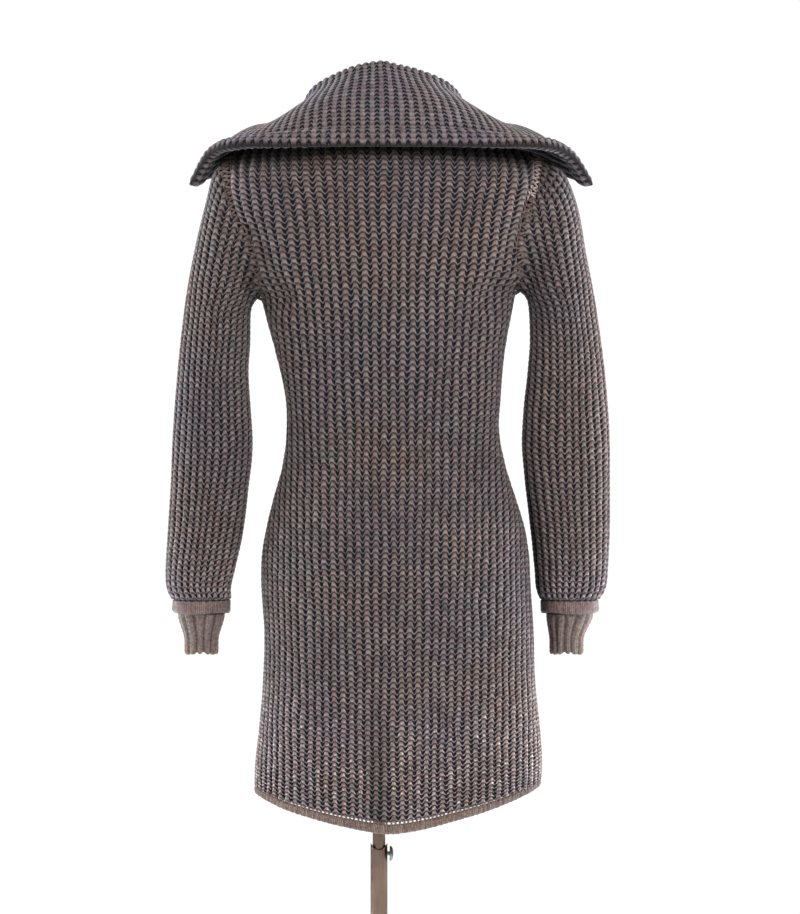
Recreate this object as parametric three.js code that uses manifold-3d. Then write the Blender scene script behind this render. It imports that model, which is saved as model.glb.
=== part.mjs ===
// A chunky two-colour knit coat with a wide spread collar, worn by a limbless dress form
// that stands on a telescopic pole with a round steel base.
//
// Millimetres, +Z up. The pole's axis is the Z axis and the base rests on z = 0.
// The coat's front faces -Y, its left side (the wearer's left) is +X.
// Every cloth piece is a wall: an outer grid of points, and an inner grid set inwards.

import * as THREE from "three";
import { mergeVertices } from "three/addons/utils/BufferGeometryUtils.js";
import Module from "manifold-3d";

const wasm = await Module();
wasm.setup();

// ---------------------------------------------------------------- driving dimensions

const COAT_X = -13; // the coat's centre line, from the pole's axis
const WALL = 4.5; // thickness of the chunky half-cardigan knit
const SEAM = 0.3; // gap between two pieces at a seam
const HEM_BAND = 12; // height of the band along the hem
const BAND_WALL = 6;

const NECK_X = 7; // the neck's centre line, from the coat's
const NECK_POINT = [78, 6, 1450]; // where shoulder seam and neckline meet
const SHOULDER_LEFT = [203, 0, 1414];
const SHOULDER_RIGHT = [186, 0, 1412];
const BACK_NECK = [60, 1440]; // depth and height at the centre back of the neckline
const FRONT_NECK = [64, 1404]; // the same on the form's front
const NECK_U = 0.42; // where the neck point lies along the top row
const SECTION_POWER = 0.85; // under 1 makes a section fuller than an ellipse
const HEM_POWER = 1.5; // how the hem rises from centre to side seam
const CORE_TOP = 1290; // top of the core line that the walls are thickened towards

// Outer sections of the body from hem to shoulder. Heights at the two side seams and at
// the centre back and centre front, half widths, depths, and how far behind and before
// the side line the panel ends (the armhole).
const BODY = table(
  "zLeft zRight zBack zFront left right back front scyeBack scyeFront",
  [
    [603, 612, 563, 594, 170, 191, 112, 118, 0, 0], // hem
    [637, 641, 612, 630, 169, 193, 114, 118, 0, 0],
    [683, 685, 668, 679, 164, 190, 117, 118, 0, 0],
    [744, 745, 736, 743, 159, 184, 119, 117, 0, 0],
    [805, 805, 803, 805, 157, 182, 121, 115, 0, 0],
    [866, 866, 866, 866, 161, 178, 124, 113, 0, 0], // seat
    [905, 905, 905, 905, 160, 176, 125, 112, 0, 0],
    [940, 940, 940, 940, 154, 170, 121, 110, 0, 0],
    [973, 973, 973, 973, 146, 160, 111, 107, 0, 0],
    [1018, 1018, 1018, 1018, 134, 146, 95, 102, 0, 0],
    [1064, 1064, 1064, 1064, 129, 138, 84, 99, 0, 0], // waist
    [1100, 1100, 1100, 1100, 130, 140, 82, 102, 0, 0],
    [1140, 1140, 1142, 1139, 138, 143, 86, 111, 0, 0],
    [1186, 1188, 1189, 1184, 150, 150, 94, 126, 0, 0],
    [1229, 1236, 1234, 1227, 161, 159, 101, 136, 0, 0], // underarm
    [1253, 1257, 1272, 1264, 163, 159, 105, 140, 40, 44],
    [1290, 1292, 1310, 1300, 171, 161, 107, 138, 58, 62],
    [1335, 1335, 1352, 1340, 190, 170, 103, 127, 57, 58],
    [1378, 1376, 1396, 1374, 199, 180, 92, 107, 38, 38], // yoke
  ],
);
const UNDERARM_ROW = 14;
const HEM_Z = BODY[0].zBack;
const UNDERARM_V = BODY[UNDERARM_ROW].zBack - HEM_Z;
const TOP_V = BACK_NECK[1] - HEM_Z; // v runs in millimetres up the centre back

const V_NECK_BOTTOM = UNDERARM_V + 2; // the fronts part above this height
const V_NECK_POWER = 1.5;
const COLLAR_END_V = UNDERARM_V + 128; // where the collar's front ends are sewn on

// Soft folds of the body: from and to (x, z) on the back or front, half width across the
// fold, and depth, where a trough is positive and a ridge is negative.
const BODY_FOLDS = table("side x0 z0 x1 z1 reach depth", [
  [1, 176, 1305, 138, 1226, 22, 7], // drag from the left armhole
  [1, -168, 1312, -128, 1222, 20, 7],
  [1, 60, 1052, -70, 1046, 15, 2.2], // ripples in the small of the back
  [1, -60, 1098, 74, 1106, 15, 1.8],
  [1, 52, 770, 44, 580, 26, 3], // skirt
  [1, -64, 760, -80, 580, 30, 3.4],
  [1, 120, 700, 126, 590, 20, -2.5],
  [1, -8, 700, -12, 560, 22, -2.2],
  [-1, 158, 1300, 118, 1218, 22, 6],
  [-1, -156, 1304, -114, 1218, 20, 6],
  [-1, 70, 780, 82, 600, 26, 3.4],
  [-1, -84, 760, -78, 600, 28, 3],
]);

// Sleeve sections from shoulder to wrist: the outer and the inner edge seen from behind,
// and the depths behind and before the arm's axis, which leans forward by `lean`.
const SLEEVE_COLUMNS = "xOut zOut xIn zIn back front lean";
const SLEEVE_LEFT = table(SLEEVE_COLUMNS, [
  [220, 1392, 171, 1226, 62, 62, 0],
  [232, 1348, 177, 1212, 64, 62, 0],
  [247, 1285, 178, 1172, 61, 60, 1],
  [259, 1216, 180, 1132, 58, 58, 2],
  [268, 1136, 177, 1086, 55, 56, 4],
  [274, 1062, 175, 1040, 52, 54, 7],
  [277, 996, 180, 992, 51, 52, 10],
  [281, 934, 187, 934, 49, 50, 13],
  [284, 888, 197, 888, 47, 47, 15],
  [283, 862, 203, 862, 43, 43, 16],
  [276.5, 846.4, 202.5, 846.4, 38, 38, 16],
]);
const SLEEVE_RIGHT = table(SLEEVE_COLUMNS, [
  [217, 1392, 171, 1235, 62, 62, 0],
  [237, 1348, 178, 1220, 64, 62, 0],
  [249, 1285, 180, 1176, 61, 60, 1],
  [262, 1216, 177, 1136, 58, 58, 2],
  [273, 1136, 172, 1090, 56, 56, 4],
  [279, 1062, 170, 1044, 54, 54, 7],
  [280, 996, 174, 994, 52, 52, 10],
  [280, 934, 181, 934, 49, 50, 13],
  [278, 888, 186, 888, 47, 47, 15],
  [275.5, 862, 188, 862, 43, 43, 16],
  [267, 846.4, 193, 846.4, 38, 38, 16],
]);
// The hollow under the back of the arm, where the sleeve folds in towards the body: its
// place round the sleeve in radians, its spread and depth, and the last section it reaches.
const ARM_HOLLOW = { centre: 2.25, spread: 0.55, depth: 15, last: 3.4 };

const CUFF_BAND = { top: 846, bottom: 829, wall: 9, depth: 38, lean: 16, rim: 1.2, sides: 24 };
const CUFF_RIB = {
  top: 828.7,
  bottom: 778,
  wall: 3.5,
  ribs: 13,
  raise: 2.2,
  topInset: 7, // how far the cuff is set in from the band
  taper: 8.5,
};

const CUFF_SHIFT_RIGHT = 4; // the right cuff hangs in towards the body

// The collar is one straight doubled strip sewn to the neckline. Each row is a station from
// the centre back (0) to a front end (1): the fold at the top of the stand, the crown of
// the fall and the free edge.
const COLLAR = [
  { at: 0.0, fold: [0, 62, 1519], crown: [0, 93, 1468], edge: [0, 112, 1410] },
  { at: 0.2, fold: [46, 50, 1512], crown: [62, 86, 1465], edge: [67, 109, 1410] },
  { at: 0.4, fold: [87, 8, 1497], crown: [114, 60, 1456], edge: [133, 98, 1411] },
  { at: 0.6, fold: [101, -42, 1470], crown: [146, 18, 1447], edge: [190, 73, 1414] },
  { at: 0.8, fold: [92, -92, 1424], crown: [163, -30, 1445], edge: [227, 36, 1407] },
  { at: 1.0, fold: [76, -132, 1364], crown: [164, -86, 1408], edge: [254, -8, 1374] },
];
const COLLAR_WALL = 5.5;
const COLLAR_EDGE_WALL = 13; // the doubled, rolled free edge
const COLLAR_SEAM_LIFT = 0.15; // share of the wall by which its seam edge clears the form
const COLLAR_FOLD_RADIUS = 7;
const COLLAR_RIBS = 54;
const COLLAR_RIB_RAISE = 1.5;
const COLLAR_HIGH_POINT = { x: 16, lift: 4, reach: 40 }; // the fold peaks left of centre
const COLLAR_STAND_DROP = 13; // how far below the fold its two rounded sides lie
const COLLAR_KNOTS = [0, 0.26, 0.36, 0.46, 0.74, 1]; // seam, stand, fold, fall, crown, edge
const COLLAR_SAMPLES = [0, 0.18, 0.3, 0.36, 0.43, 0.58, 0.76, 0.94, 1];
const NECK_POINT_AT = 0.37; // the collar's station at the neck point

// The dress form inside, and its stand.
const FORM_BOTTOM_V = 204; // where the form ends, in the skirt
const FORM_NECK = { half: 58, back: 44, front: 46, top: 1492, cap: 10 };
const POLE_SIDES = 24;
const FORM_FLOOR = HEM_Z + FORM_BOTTOM_V;
const SOCKET = { radius: 8.5, depth: 50 };
const INNER_TUBE = { radius: 8, bottom: 290, top: FORM_FLOOR + SOCKET.depth - SEAM };
const OUTER_TUBE = { radius: 10.75, bore: 8.6, top: 538, saddle: 8 };
const BASE = { radius: 165, edge: 5, hub: 26, hubTop: 34, crown: 9, sides: 36 };
const SCREW = { z: 524, shank: 2.6, head: 9.5, headThick: 4.6, headGap: 2.8, rim: 1.2 };

// Grid counts.
const BODY_U = 20;
const BODY_V_LOWER = 16;
const BODY_V_SCYE = 10;
const SLEEVE_STEPS = 17;

// ---------------------------------------------------------------- small tools

function table(names, rows) {
  const keys = names.split(" ");
  return rows.map((row) => Object.fromEntries(keys.map((key, i) => [key, row[i]])));
}

const clamp = (x, low, high) => Math.min(high, Math.max(low, x));
const smooth = (x) => {
  const t = clamp(x, 0, 1);
  return t * t * (3 - 2 * t);
};
const add = (a, b, k = 1) => a.map((x, i) => x + k * b[i]);
const sub = (a, b) => a.map((x, i) => x - b[i]);
const mix = (a, b, t) => a.map((x, i) => x + (b[i] - x) * t);
const dot = (a, b) => a[0] * b[0] + a[1] * b[1] + a[2] * b[2];
const cross = (a, b) => [
  a[1] * b[2] - a[2] * b[1],
  a[2] * b[0] - a[0] * b[2],
  a[0] * b[1] - a[1] * b[0],
];
const unit = (a) => {
  const length = Math.hypot(...a) || 1;
  return a.map((x) => x / length);
};
const range = (n) => Array.from({ length: n + 1 }, (_, i) => i);

// A smooth curve through points at increasing stations, with Hermite spans.
function spline(stations, points, t) {
  const last = stations.length - 1;
  let i = 0;
  while (i < last - 1 && t > stations[i + 1]) i++;
  const slope = (k) => {
    const a = Math.max(0, k - 1);
    const b = Math.min(last, k + 1);
    return points[a].map((x, n) => (points[b][n] - x) / (stations[b] - stations[a]));
  };
  const span = stations[i + 1] - stations[i];
  const s = (t - stations[i]) / span;
  const m0 = slope(i);
  const m1 = slope(i + 1);
  const h = [
    2 * s ** 3 - 3 * s ** 2 + 1,
    (s ** 3 - 2 * s ** 2 + s) * span,
    -2 * s ** 3 + 3 * s ** 2,
    (s ** 3 - s ** 2) * span,
  ];
  const after = points[i + 1];
  return points[i].map((p, n) => h[0] * p + h[1] * m0[n] + h[2] * after[n] + h[3] * m1[n]);
}

// Joins triangles into one closed geometry that faces outwards.
function closedGeometry(triangles) {
  let volume = 0;
  for (const [a, b, c] of triangles) volume += dot(a, cross(b, c));
  const facing = volume < 0 ? triangles.map(([a, b, c]) => [a, c, b]) : triangles;
  const loose = new THREE.BufferGeometry();
  const flat = new Float32Array(facing.flat(2));
  loose.setAttribute("position", new THREE.BufferAttribute(flat, 3));
  const geometry = mergeVertices(loose, 1e-3);
  const index = geometry.index.array;
  const kept = [];
  for (let i = 0; i < index.length; i += 3) {
    const [a, b, c] = index.subarray(i, i + 3);
    if (a !== b && b !== c && c !== a) kept.push(a, b, c);
  }
  geometry.setIndex(kept);
  return geometry;
}

const quad = (a, b, c, d) => [
  [a, b, c],
  [a, c, d],
];

// A wall between an outer and an inner grid, both indexed [row][column]. A wall that goes
// all round joins its last column to its first.
function wallGeometry(outer, inner, allRound = false) {
  const rows = outer.length;
  const columns = outer[0].length;
  const triangles = [];
  const spans = allRound ? columns : columns - 1;
  const next = (j) => (j + 1) % columns;
  for (let i = 0; i < rows - 1; i++)
    for (let j = 0; j < spans; j++) {
      const k = next(j);
      triangles.push(...quad(outer[i][j], outer[i][k], outer[i + 1][k], outer[i + 1][j]));
      triangles.push(...quad(inner[i][j], inner[i + 1][j], inner[i + 1][k], inner[i][k]));
    }
  for (let j = 0; j < spans; j++) {
    const k = next(j);
    const top = rows - 1;
    triangles.push(...quad(outer[0][j], inner[0][j], inner[0][k], outer[0][k]));
    triangles.push(...quad(outer[top][j], outer[top][k], inner[top][k], inner[top][j]));
  }
  if (!allRound)
    for (let i = 0; i < rows - 1; i++) {
      const end = columns - 1;
      triangles.push(...quad(outer[i][0], outer[i + 1][0], inner[i + 1][0], inner[i][0]));
      triangles.push(...quad(outer[i][end], inner[i][end], inner[i + 1][end], outer[i + 1][end]));
    }
  return closedGeometry(triangles);
}

// Boolean work on two closed geometries.
function manifoldOf(geometry) {
  const bare = geometry.clone();
  for (const name of ["normal", "uv"]) bare.deleteAttribute(name);
  const merged = mergeVertices(bare, 1e-3);
  return new wasm.Manifold(
    new wasm.Mesh({
      numProp: 3,
      vertProperties: merged.attributes.position.array,
      triVerts: new Uint32Array(merged.index.array),
    }),
  );
}

function geometryOf(solid) {
  const mesh = solid.getMesh();
  const geometry = new THREE.BufferGeometry();
  geometry.setAttribute("position", new THREE.BufferAttribute(mesh.vertProperties, 3));
  geometry.setIndex(new THREE.BufferAttribute(mesh.triVerts, 1));
  return geometry;
}

const cut = (a, b) => geometryOf(manifoldOf(a).subtract(manifoldOf(b)));

// ---------------------------------------------------------------- the body's surface

// A point of one body section; u runs from -1 (right seam) through the centre to 1 (left).
// Below the underarm the panels meet at the side line, and above it each ends at its scye.
function sectionPoint(row, side, u, belowArm) {
  const angle = (Math.abs(u) * Math.PI) / 2;
  const left = u >= 0;
  const half = left ? row.left : row.right;
  const depth = side > 0 ? row.back : row.front;
  const ownScye = side > 0 ? row.scyeBack : row.scyeFront;
  const scye = belowArm ? 0 : ownScye;
  const zCentre = side > 0 ? row.zBack : row.zFront;
  const zSeam = left ? row.zLeft : row.zRight;
  const across = Math.sin(angle);
  const out = Math.max(0, Math.cos(angle)) ** SECTION_POWER;
  return [
    (left ? 1 : -1) * half * across,
    side * (scye + (depth - scye) * out),
    zCentre + (zSeam - zCentre) * across ** HEM_POWER,
  ];
}

// The top row: shoulder seam from armhole to neck point, then round the neck.
function topPoint(side, u) {
  const left = u >= 0 ? 1 : -1;
  const tip = left > 0 ? SHOULDER_LEFT : SHOULDER_RIGHT;
  const neck = [NECK_X * left + NECK_POINT[0], NECK_POINT[1], NECK_POINT[2]];
  const along = Math.abs(u);
  if (along >= NECK_U) {
    const p = mix(neck, tip, (along - NECK_U) / (1 - NECK_U));
    return [left * p[0], p[1], p[2]];
  }
  const angle = ((along / NECK_U) * Math.PI) / 2;
  const [depth, height] = side > 0 ? BACK_NECK : FRONT_NECK;
  return [
    NECK_X + left * NECK_POINT[0] * Math.sin(angle),
    NECK_POINT[1] + (side * depth - NECK_POINT[1]) * Math.cos(angle),
    height + (NECK_POINT[2] - height) * Math.sin(angle) ** 2,
  ];
}

const ROW_V = [...BODY.map((row) => row.zBack - HEM_Z), TOP_V];

function smoothSurface(side, u, v) {
  const belowArm = v <= UNDERARM_V;
  const rows = BODY.map((row) => sectionPoint(row, side, u, belowArm));
  return spline(ROW_V, [...rows, topPoint(side, u)], v);
}

// Points inwards are taken towards the body's core line, the same from both sides of a seam.
function inwards(p) {
  return unit(sub([0, 0, Math.min(p[2], CORE_TOP)], p));
}

// How deep the folds press a point in.
function foldDepth(side, p) {
  let depth = 0;
  for (const fold of BODY_FOLDS) {
    if (fold.side !== side) continue;
    const dx = fold.x1 - fold.x0;
    const dz = fold.z1 - fold.z0;
    const t = clamp(((p[0] - fold.x0) * dx + (p[2] - fold.z0) * dz) / (dx * dx + dz * dz), 0, 1);
    const away = Math.hypot(p[0] - fold.x0 - t * dx, p[2] - fold.z0 - t * dz);
    depth += fold.depth * Math.exp(-((away / fold.reach) ** 2));
  }
  return depth;
}

// Folds die out towards the seams, so that neighbouring pieces still meet.
function bodySurface(side, u, v) {
  const p = smoothSurface(side, u, v);
  const atSeam = smooth((1 - Math.abs(u)) / 0.12);
  const atNeck = smooth((TOP_V - v) / 60);
  return add(p, inwards(p), foldDepth(side, p) * atSeam * atNeck);
}

function wallInset(side, u, v, wall) {
  const e = 0.004;
  const p = smoothSurface(side, u, v);
  const du = sub(
    smoothSurface(side, Math.min(1, u + e), v),
    smoothSurface(side, Math.max(-1, u - e), v),
  );
  const dv = sub(
    smoothSurface(side, u, Math.min(TOP_V, v + 1)),
    smoothSurface(side, u, Math.max(0, v - 1)),
  );
  const direction = inwards(p);
  const facing = Math.abs(dot(unit(cross(du, dv)), direction));
  return direction.map((x) => (x * wall) / clamp(facing, 0.6, 1));
}

// Left edge of the neck opening on a front, as u, at height v.
function frontEdgeU(v) {
  const rise = clamp((v - V_NECK_BOTTOM) / (TOP_V - V_NECK_BOTTOM), 0, 1);
  return NECK_U * rise ** V_NECK_POWER;
}

function panelRows() {
  const low = HEM_BAND + SEAM;
  const lower = range(BODY_V_LOWER).map((i) => low + ((UNDERARM_V - low) * i) / BODY_V_LOWER);
  const upper = range(BODY_V_SCYE)
    .slice(1)
    .map((i) => UNDERARM_V + ((TOP_V - UNDERARM_V) * i) / BODY_V_SCYE);
  return [...lower, ...upper];
}

const PANEL_V = panelRows();

// The grids of a panel: `columns` gives the u values at a height, and the panel keeps half
// a seam from its neighbours at the side, the shoulder and the centre front.
function panelGrids(side, columns, heights, wall) {
  const outer = [];
  const inner = [];
  for (const v of heights) {
    const height = v === TOP_V ? TOP_V - SEAM / 2 : v;
    const rowOuter = [];
    const rowInner = [];
    for (const u of columns(v)) {
      const p = bodySurface(side, u, height);
      const inset = wallInset(side, u, height, wall);
      if (Math.abs(u) === 1 && v <= UNDERARM_V) p[1] += (side * SEAM) / 2;
      if (u === 0 && side < 0) p[0] += columns.side * (SEAM / 2);
      rowOuter.push(p);
      rowInner.push(add(p, inset));
    }
    outer.push(rowOuter);
    inner.push(rowInner);
  }
  return { outer, inner };
}

const backColumns = () => range(BODY_U).map((i) => -1 + (2 * i) / BODY_U);

function frontColumns(sign) {
  const columns = (v) =>
    range(BODY_U / 2).map((i) => {
      const start = frontEdgeU(v);
      const u = start + ((1 - start) * i) / (BODY_U / 2);
      return i === 0 && start === 0 ? 0 : sign * u;
    });
  columns.side = sign;
  return columns;
}

// ---------------------------------------------------------------- body pieces

function panel(side, columns) {
  const grid = panelGrids(side, columns, PANEL_V, WALL);
  return { ...grid, geometry: wallGeometry(grid.outer, grid.inner) };
}

// The band along the hem: a soft tube-like strip, fuller than the knit above it.
function hemBand(side, columns) {
  const heights = [0, HEM_BAND * 0.3, HEM_BAND * 0.7, HEM_BAND];
  const grid = panelGrids(side, columns, heights, BAND_WALL);
  const round = [0.35, 1, 1, 0.5];
  const outer = grid.outer.map((row, i) =>
    row.map((p) => add(p, inwards(p), -1.2 * (round[i] - 0.5))),
  );
  const inner = grid.inner.map((row, i) =>
    row.map((p, j) => add(p, sub(grid.outer[i][j], p), (1 - round[i]) * 0.4)),
  );
  return wallGeometry(outer, inner);
}

// ---------------------------------------------------------------- sleeves

// The armhole as a closed ring, from the shoulder down the back and up the front.
function armholeRing(back, front, column) {
  const rows = range(BODY_V_SCYE).map((i) => BODY_V_LOWER + BODY_V_SCYE - i);
  const frontEnd = front.outer[0].length - 1;
  const down = rows.map((i) => [back.outer[i][column], back.inner[i][column]]);
  const up = rows
    .slice(1, -1)
    .reverse()
    .map((i) => [front.outer[i][frontEnd], front.inner[i][frontEnd]]);
  return [...down, ...up];
}

// The way across the seam at one point of the armhole, away from the body panel.
function seamNormal(ring, j) {
  const count = ring.length;
  const along = sub(ring[(j + 1) % count][0], ring[(j + count - 1) % count][0]);
  const inset = sub(ring[j][1], ring[j][0]);
  const normal = unit(cross(along, inset));
  const centre = ring.reduce((a, [p]) => add(a, p, 1 / count), [0, 0, 0]);
  return dot(normal, sub(centre, ring[j][0])) > 0 ? normal : normal.map((x) => -x);
}

function sleeve(sections, sign, ring) {
  const count = ring.length;
  const knots = range(sections.length);
  const columns = ring.map(([start], j) => {
    const angle = (2 * Math.PI * j) / count;
    const points = sections.map((s, k) => {
      const across = (s.xOut - s.xIn) / 2;
      const drop = (s.zOut - s.zIn) / 2;
      const sine = Math.sin(angle);
      const depth = sine > 0 ? s.back : s.front;
      const near = Math.exp(-(((angle - ARM_HOLLOW.centre) / ARM_HOLLOW.spread) ** 2));
      const fade = smooth(1 - k / ARM_HOLLOW.last);
      return [
        sign * ((s.xOut + s.xIn) / 2 + across * Math.cos(angle)),
        sine * depth - s.lean - ARM_HOLLOW.depth * near * fade,
        (s.zOut + s.zIn) / 2 + drop * Math.cos(angle),
      ];
    });
    return [add(start, seamNormal(ring, j), SEAM), ...points];
  });
  const outer = [];
  const inner = [];
  for (const i of range(SLEEVE_STEPS)) {
    const t = (i / SLEEVE_STEPS) ** 1.15 * sections.length;
    const loop = columns.map((points) => spline(knots, points, t));
    const middle = loop.reduce((a, p) => add(a, p), [0, 0, 0]).map((x) => x / count);
    outer.push(loop);
    inner.push(
      loop.map((p, j) => {
        const seamInset = sub(ring[j][1], ring[j][0]);
        const ownInset = sub(middle, p);
        ownInset[2] *= 0.4;
        return add(p, mix(unit(ownInset).map((x) => x * WALL), seamInset, smooth(1 - t)));
      }),
    );
  }
  return wallGeometry(outer, inner, true);
}

// One closed ring round a sleeve's end; `inset` shrinks it.
function cuffLoop(section, sign, inset, z, count, raise = () => 0, shift = 0) {
  const half = (section.xOut - section.xIn) / 2;
  const middle = (section.xOut + section.xIn) / 2 - shift;
  return range(count - 1).map((j) => {
    const angle = (2 * Math.PI * j) / count;
    const grow = raise(j) - inset;
    return [
      sign * (middle + (half + grow) * Math.cos(angle)),
      (CUFF_BAND.depth + grow) * Math.sin(angle) - CUFF_BAND.lean,
      z,
    ];
  });
}

function cuffBand(section, sign) {
  const { top, bottom, wall, rim, sides } = CUFF_BAND;
  const profile = [
    [0, rim],
    [0.25, 0],
    [0.75, 0],
    [1, rim],
  ];
  const loop = (t, inset) => cuffLoop(section, sign, inset, bottom + t * (top - bottom), sides);
  const outer = profile.map(([t, inset]) => loop(t, inset));
  const inner = profile.map(([t]) => loop(t, wall));
  return wallGeometry(outer, inner, true);
}

// The ribbed cuff: each rib is a flat-topped ridge, four points round it.
function cuffRib(section, sign, shift) {
  const { top, bottom, wall, ribs, raise, topInset, taper } = CUFF_RIB;
  const count = ribs * 4;
  const outer = [];
  const inner = [];
  for (const t of [0, 0.12, 0.5, 1]) {
    const z = top + (bottom - top) * t;
    const lift = raise * smooth(t * 8);
    const narrow = topInset + taper * smooth(t * 1.4) + lift;
    const ridge = (j) => (j % 4 < 2 ? lift : 0);
    const aside = shift * smooth(t * 1.5);
    outer.push(cuffLoop(section, sign, narrow, z, count, ridge, aside));
    inner.push(cuffLoop(section, sign, narrow + wall, z, count, undefined, aside));
  }
  return wallGeometry(outer, inner, true);
}

// ---------------------------------------------------------------- collar

// A place on a line of outer and inner points that may lie between two of them.
function between(outer, inner, place) {
  const i = Math.min(Math.floor(place), outer.length - 2);
  return [mix(outer[i], outer[i + 1], place - i), mix(inner[i], inner[i + 1], place - i)];
}

// The panels' own neck edge, from the centre back (0) over the neck point to the collar's
// front end (1), as an outer and an inner point.
function neckEdge(s, panels) {
  const at = Math.abs(s);
  const top = BODY_V_LOWER + BODY_V_SCYE;
  if (at < NECK_POINT_AT) {
    const u = (NECK_U * s) / NECK_POINT_AT;
    return between(panels.back.outer[top], panels.back.inner[top], ((u + 1) * BODY_U) / 2);
  }
  const along = (at - NECK_POINT_AT) / (1 - NECK_POINT_AT);
  const v = TOP_V + (COLLAR_END_V - TOP_V) * along;
  const row = BODY_V_LOWER + ((v - UNDERARM_V) * BODY_V_SCYE) / (TOP_V - UNDERARM_V);
  const front = s < 0 ? panels.right : panels.left;
  const edge = (grid) => grid.map((points) => points[0]);
  return between(edge(front.outer), edge(front.inner), row);
}

function collarLine(s, seam) {
  const sign = s < 0 ? -1 : 1;
  const at = Math.abs(s);
  const stations = COLLAR.map((row) => row.at);
  const read = (key) => {
    const p = spline(stations, COLLAR.map((row) => row[key]), at);
    return [sign * p[0], p[1], p[2]];
  };
  const fold = add(read("fold"), [NECK_X, 0, 0]);
  const crown = add(read("crown"), [NECK_X * 0.5, 0, 0]);
  const edge = read("edge");
  const peak = Math.exp(-(((fold[0] - COLLAR_HIGH_POINT.x) / COLLAR_HIGH_POINT.reach) ** 2));
  fold[2] += COLLAR_HIGH_POINT.lift * peak;
  const out = unit([edge[0] - fold[0], edge[1] - fold[1], 0]);
  const stand = fold[2] - seam[0][2];
  const drop = Math.min(COLLAR_STAND_DROP, stand * 0.45);
  const turn = COLLAR_FOLD_RADIUS;
  return [
    mix(seam[0], seam[1], 0.5),
    add(add(fold, out, -turn), [0, 0, -drop]),
    fold,
    add(add(fold, out, turn), [0, 0, -drop * 0.8]),
    crown,
    edge,
  ];
}

function collar(panels) {
  const columns = COLLAR_RIBS * 2;
  const places = range(columns).map((j) => -1 + (2 * j) / columns);
  const edges = places.map((s) => neckEdge(s, panels));
  const seams = edges.map(([outer, inner], j) => {
    const across = seamNormal(edges, clamp(j, 1, columns - 1));
    const lifted = mix(inner, outer, COLLAR_SEAM_LIFT);
    return [add(outer, across, SEAM), add(lifted, across, SEAM)];
  });
  const lines = places.map((s, j) => collarLine(s, seams[j]));
  const centre = COLLAR_SAMPLES.map((t) => lines.map((line) => spline(COLLAR_KNOTS, line, t)));
  const last = COLLAR_SAMPLES.length - 1;
  const outer = [];
  const inner = [];
  centre.forEach((row, i) => {
    const below = centre[Math.max(0, i - 1)];
    const above = centre[Math.min(last, i + 1)];
    const edgeward = smooth((COLLAR_SAMPLES[i] - 0.8) / 0.16);
    const wall = COLLAR_WALL + (COLLAR_EDGE_WALL - COLLAR_WALL) * edgeward;
    const half = (i === last ? 0.45 : 0.5) * (i === last ? COLLAR_WALL * 1.3 : wall);
    const rowOuter = [];
    const rowInner = [];
    row.forEach((p, j) => {
      const before = row[Math.max(0, j - 2)];
      const after = row[Math.min(columns, j + 2)];
      const normal = unit(cross(sub(after, before), sub(above[j], below[j])));
      const rib = j % 2 === 1 && i > 0 ? COLLAR_RIB_RAISE : 0;
      if (i === 0) {
        rowOuter.push(seams[j][1]);
        rowInner.push(seams[j][0]);
        return;
      }
      rowOuter.push(add(p, normal, half + rib));
      rowInner.push(add(p, normal, -half));
    });
    outer.push(rowOuter);
    inner.push(rowInner);
  });
  return wallGeometry(outer, inner);
}

// ---------------------------------------------------------------- dress form

// How far the form lies inside the coat's outer surface.
function formInset(side, u, v) {
  const onShoulder = smooth((v - (TOP_V - 90)) / 80);
  const loose = 5.5 + 9 * smooth((Math.abs(u) - 0.55) / 0.35);
  const rest = side > 0 ? SEAM : 2.6;
  return WALL + rest + loose * (1 - onShoulder);
}

function formRing(v) {
  const us = backColumns();
  const back = us.map((u) => [1, u]);
  const front = us.slice().reverse().map((u) => [-1, u]);
  return [...back, ...front].map(([side, u]) => {
    const p = smoothSurface(side, u, v);
    const inset = wallInset(side, u, v, formInset(side, u, v));
    return add(p, inset);
  });
}

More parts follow.
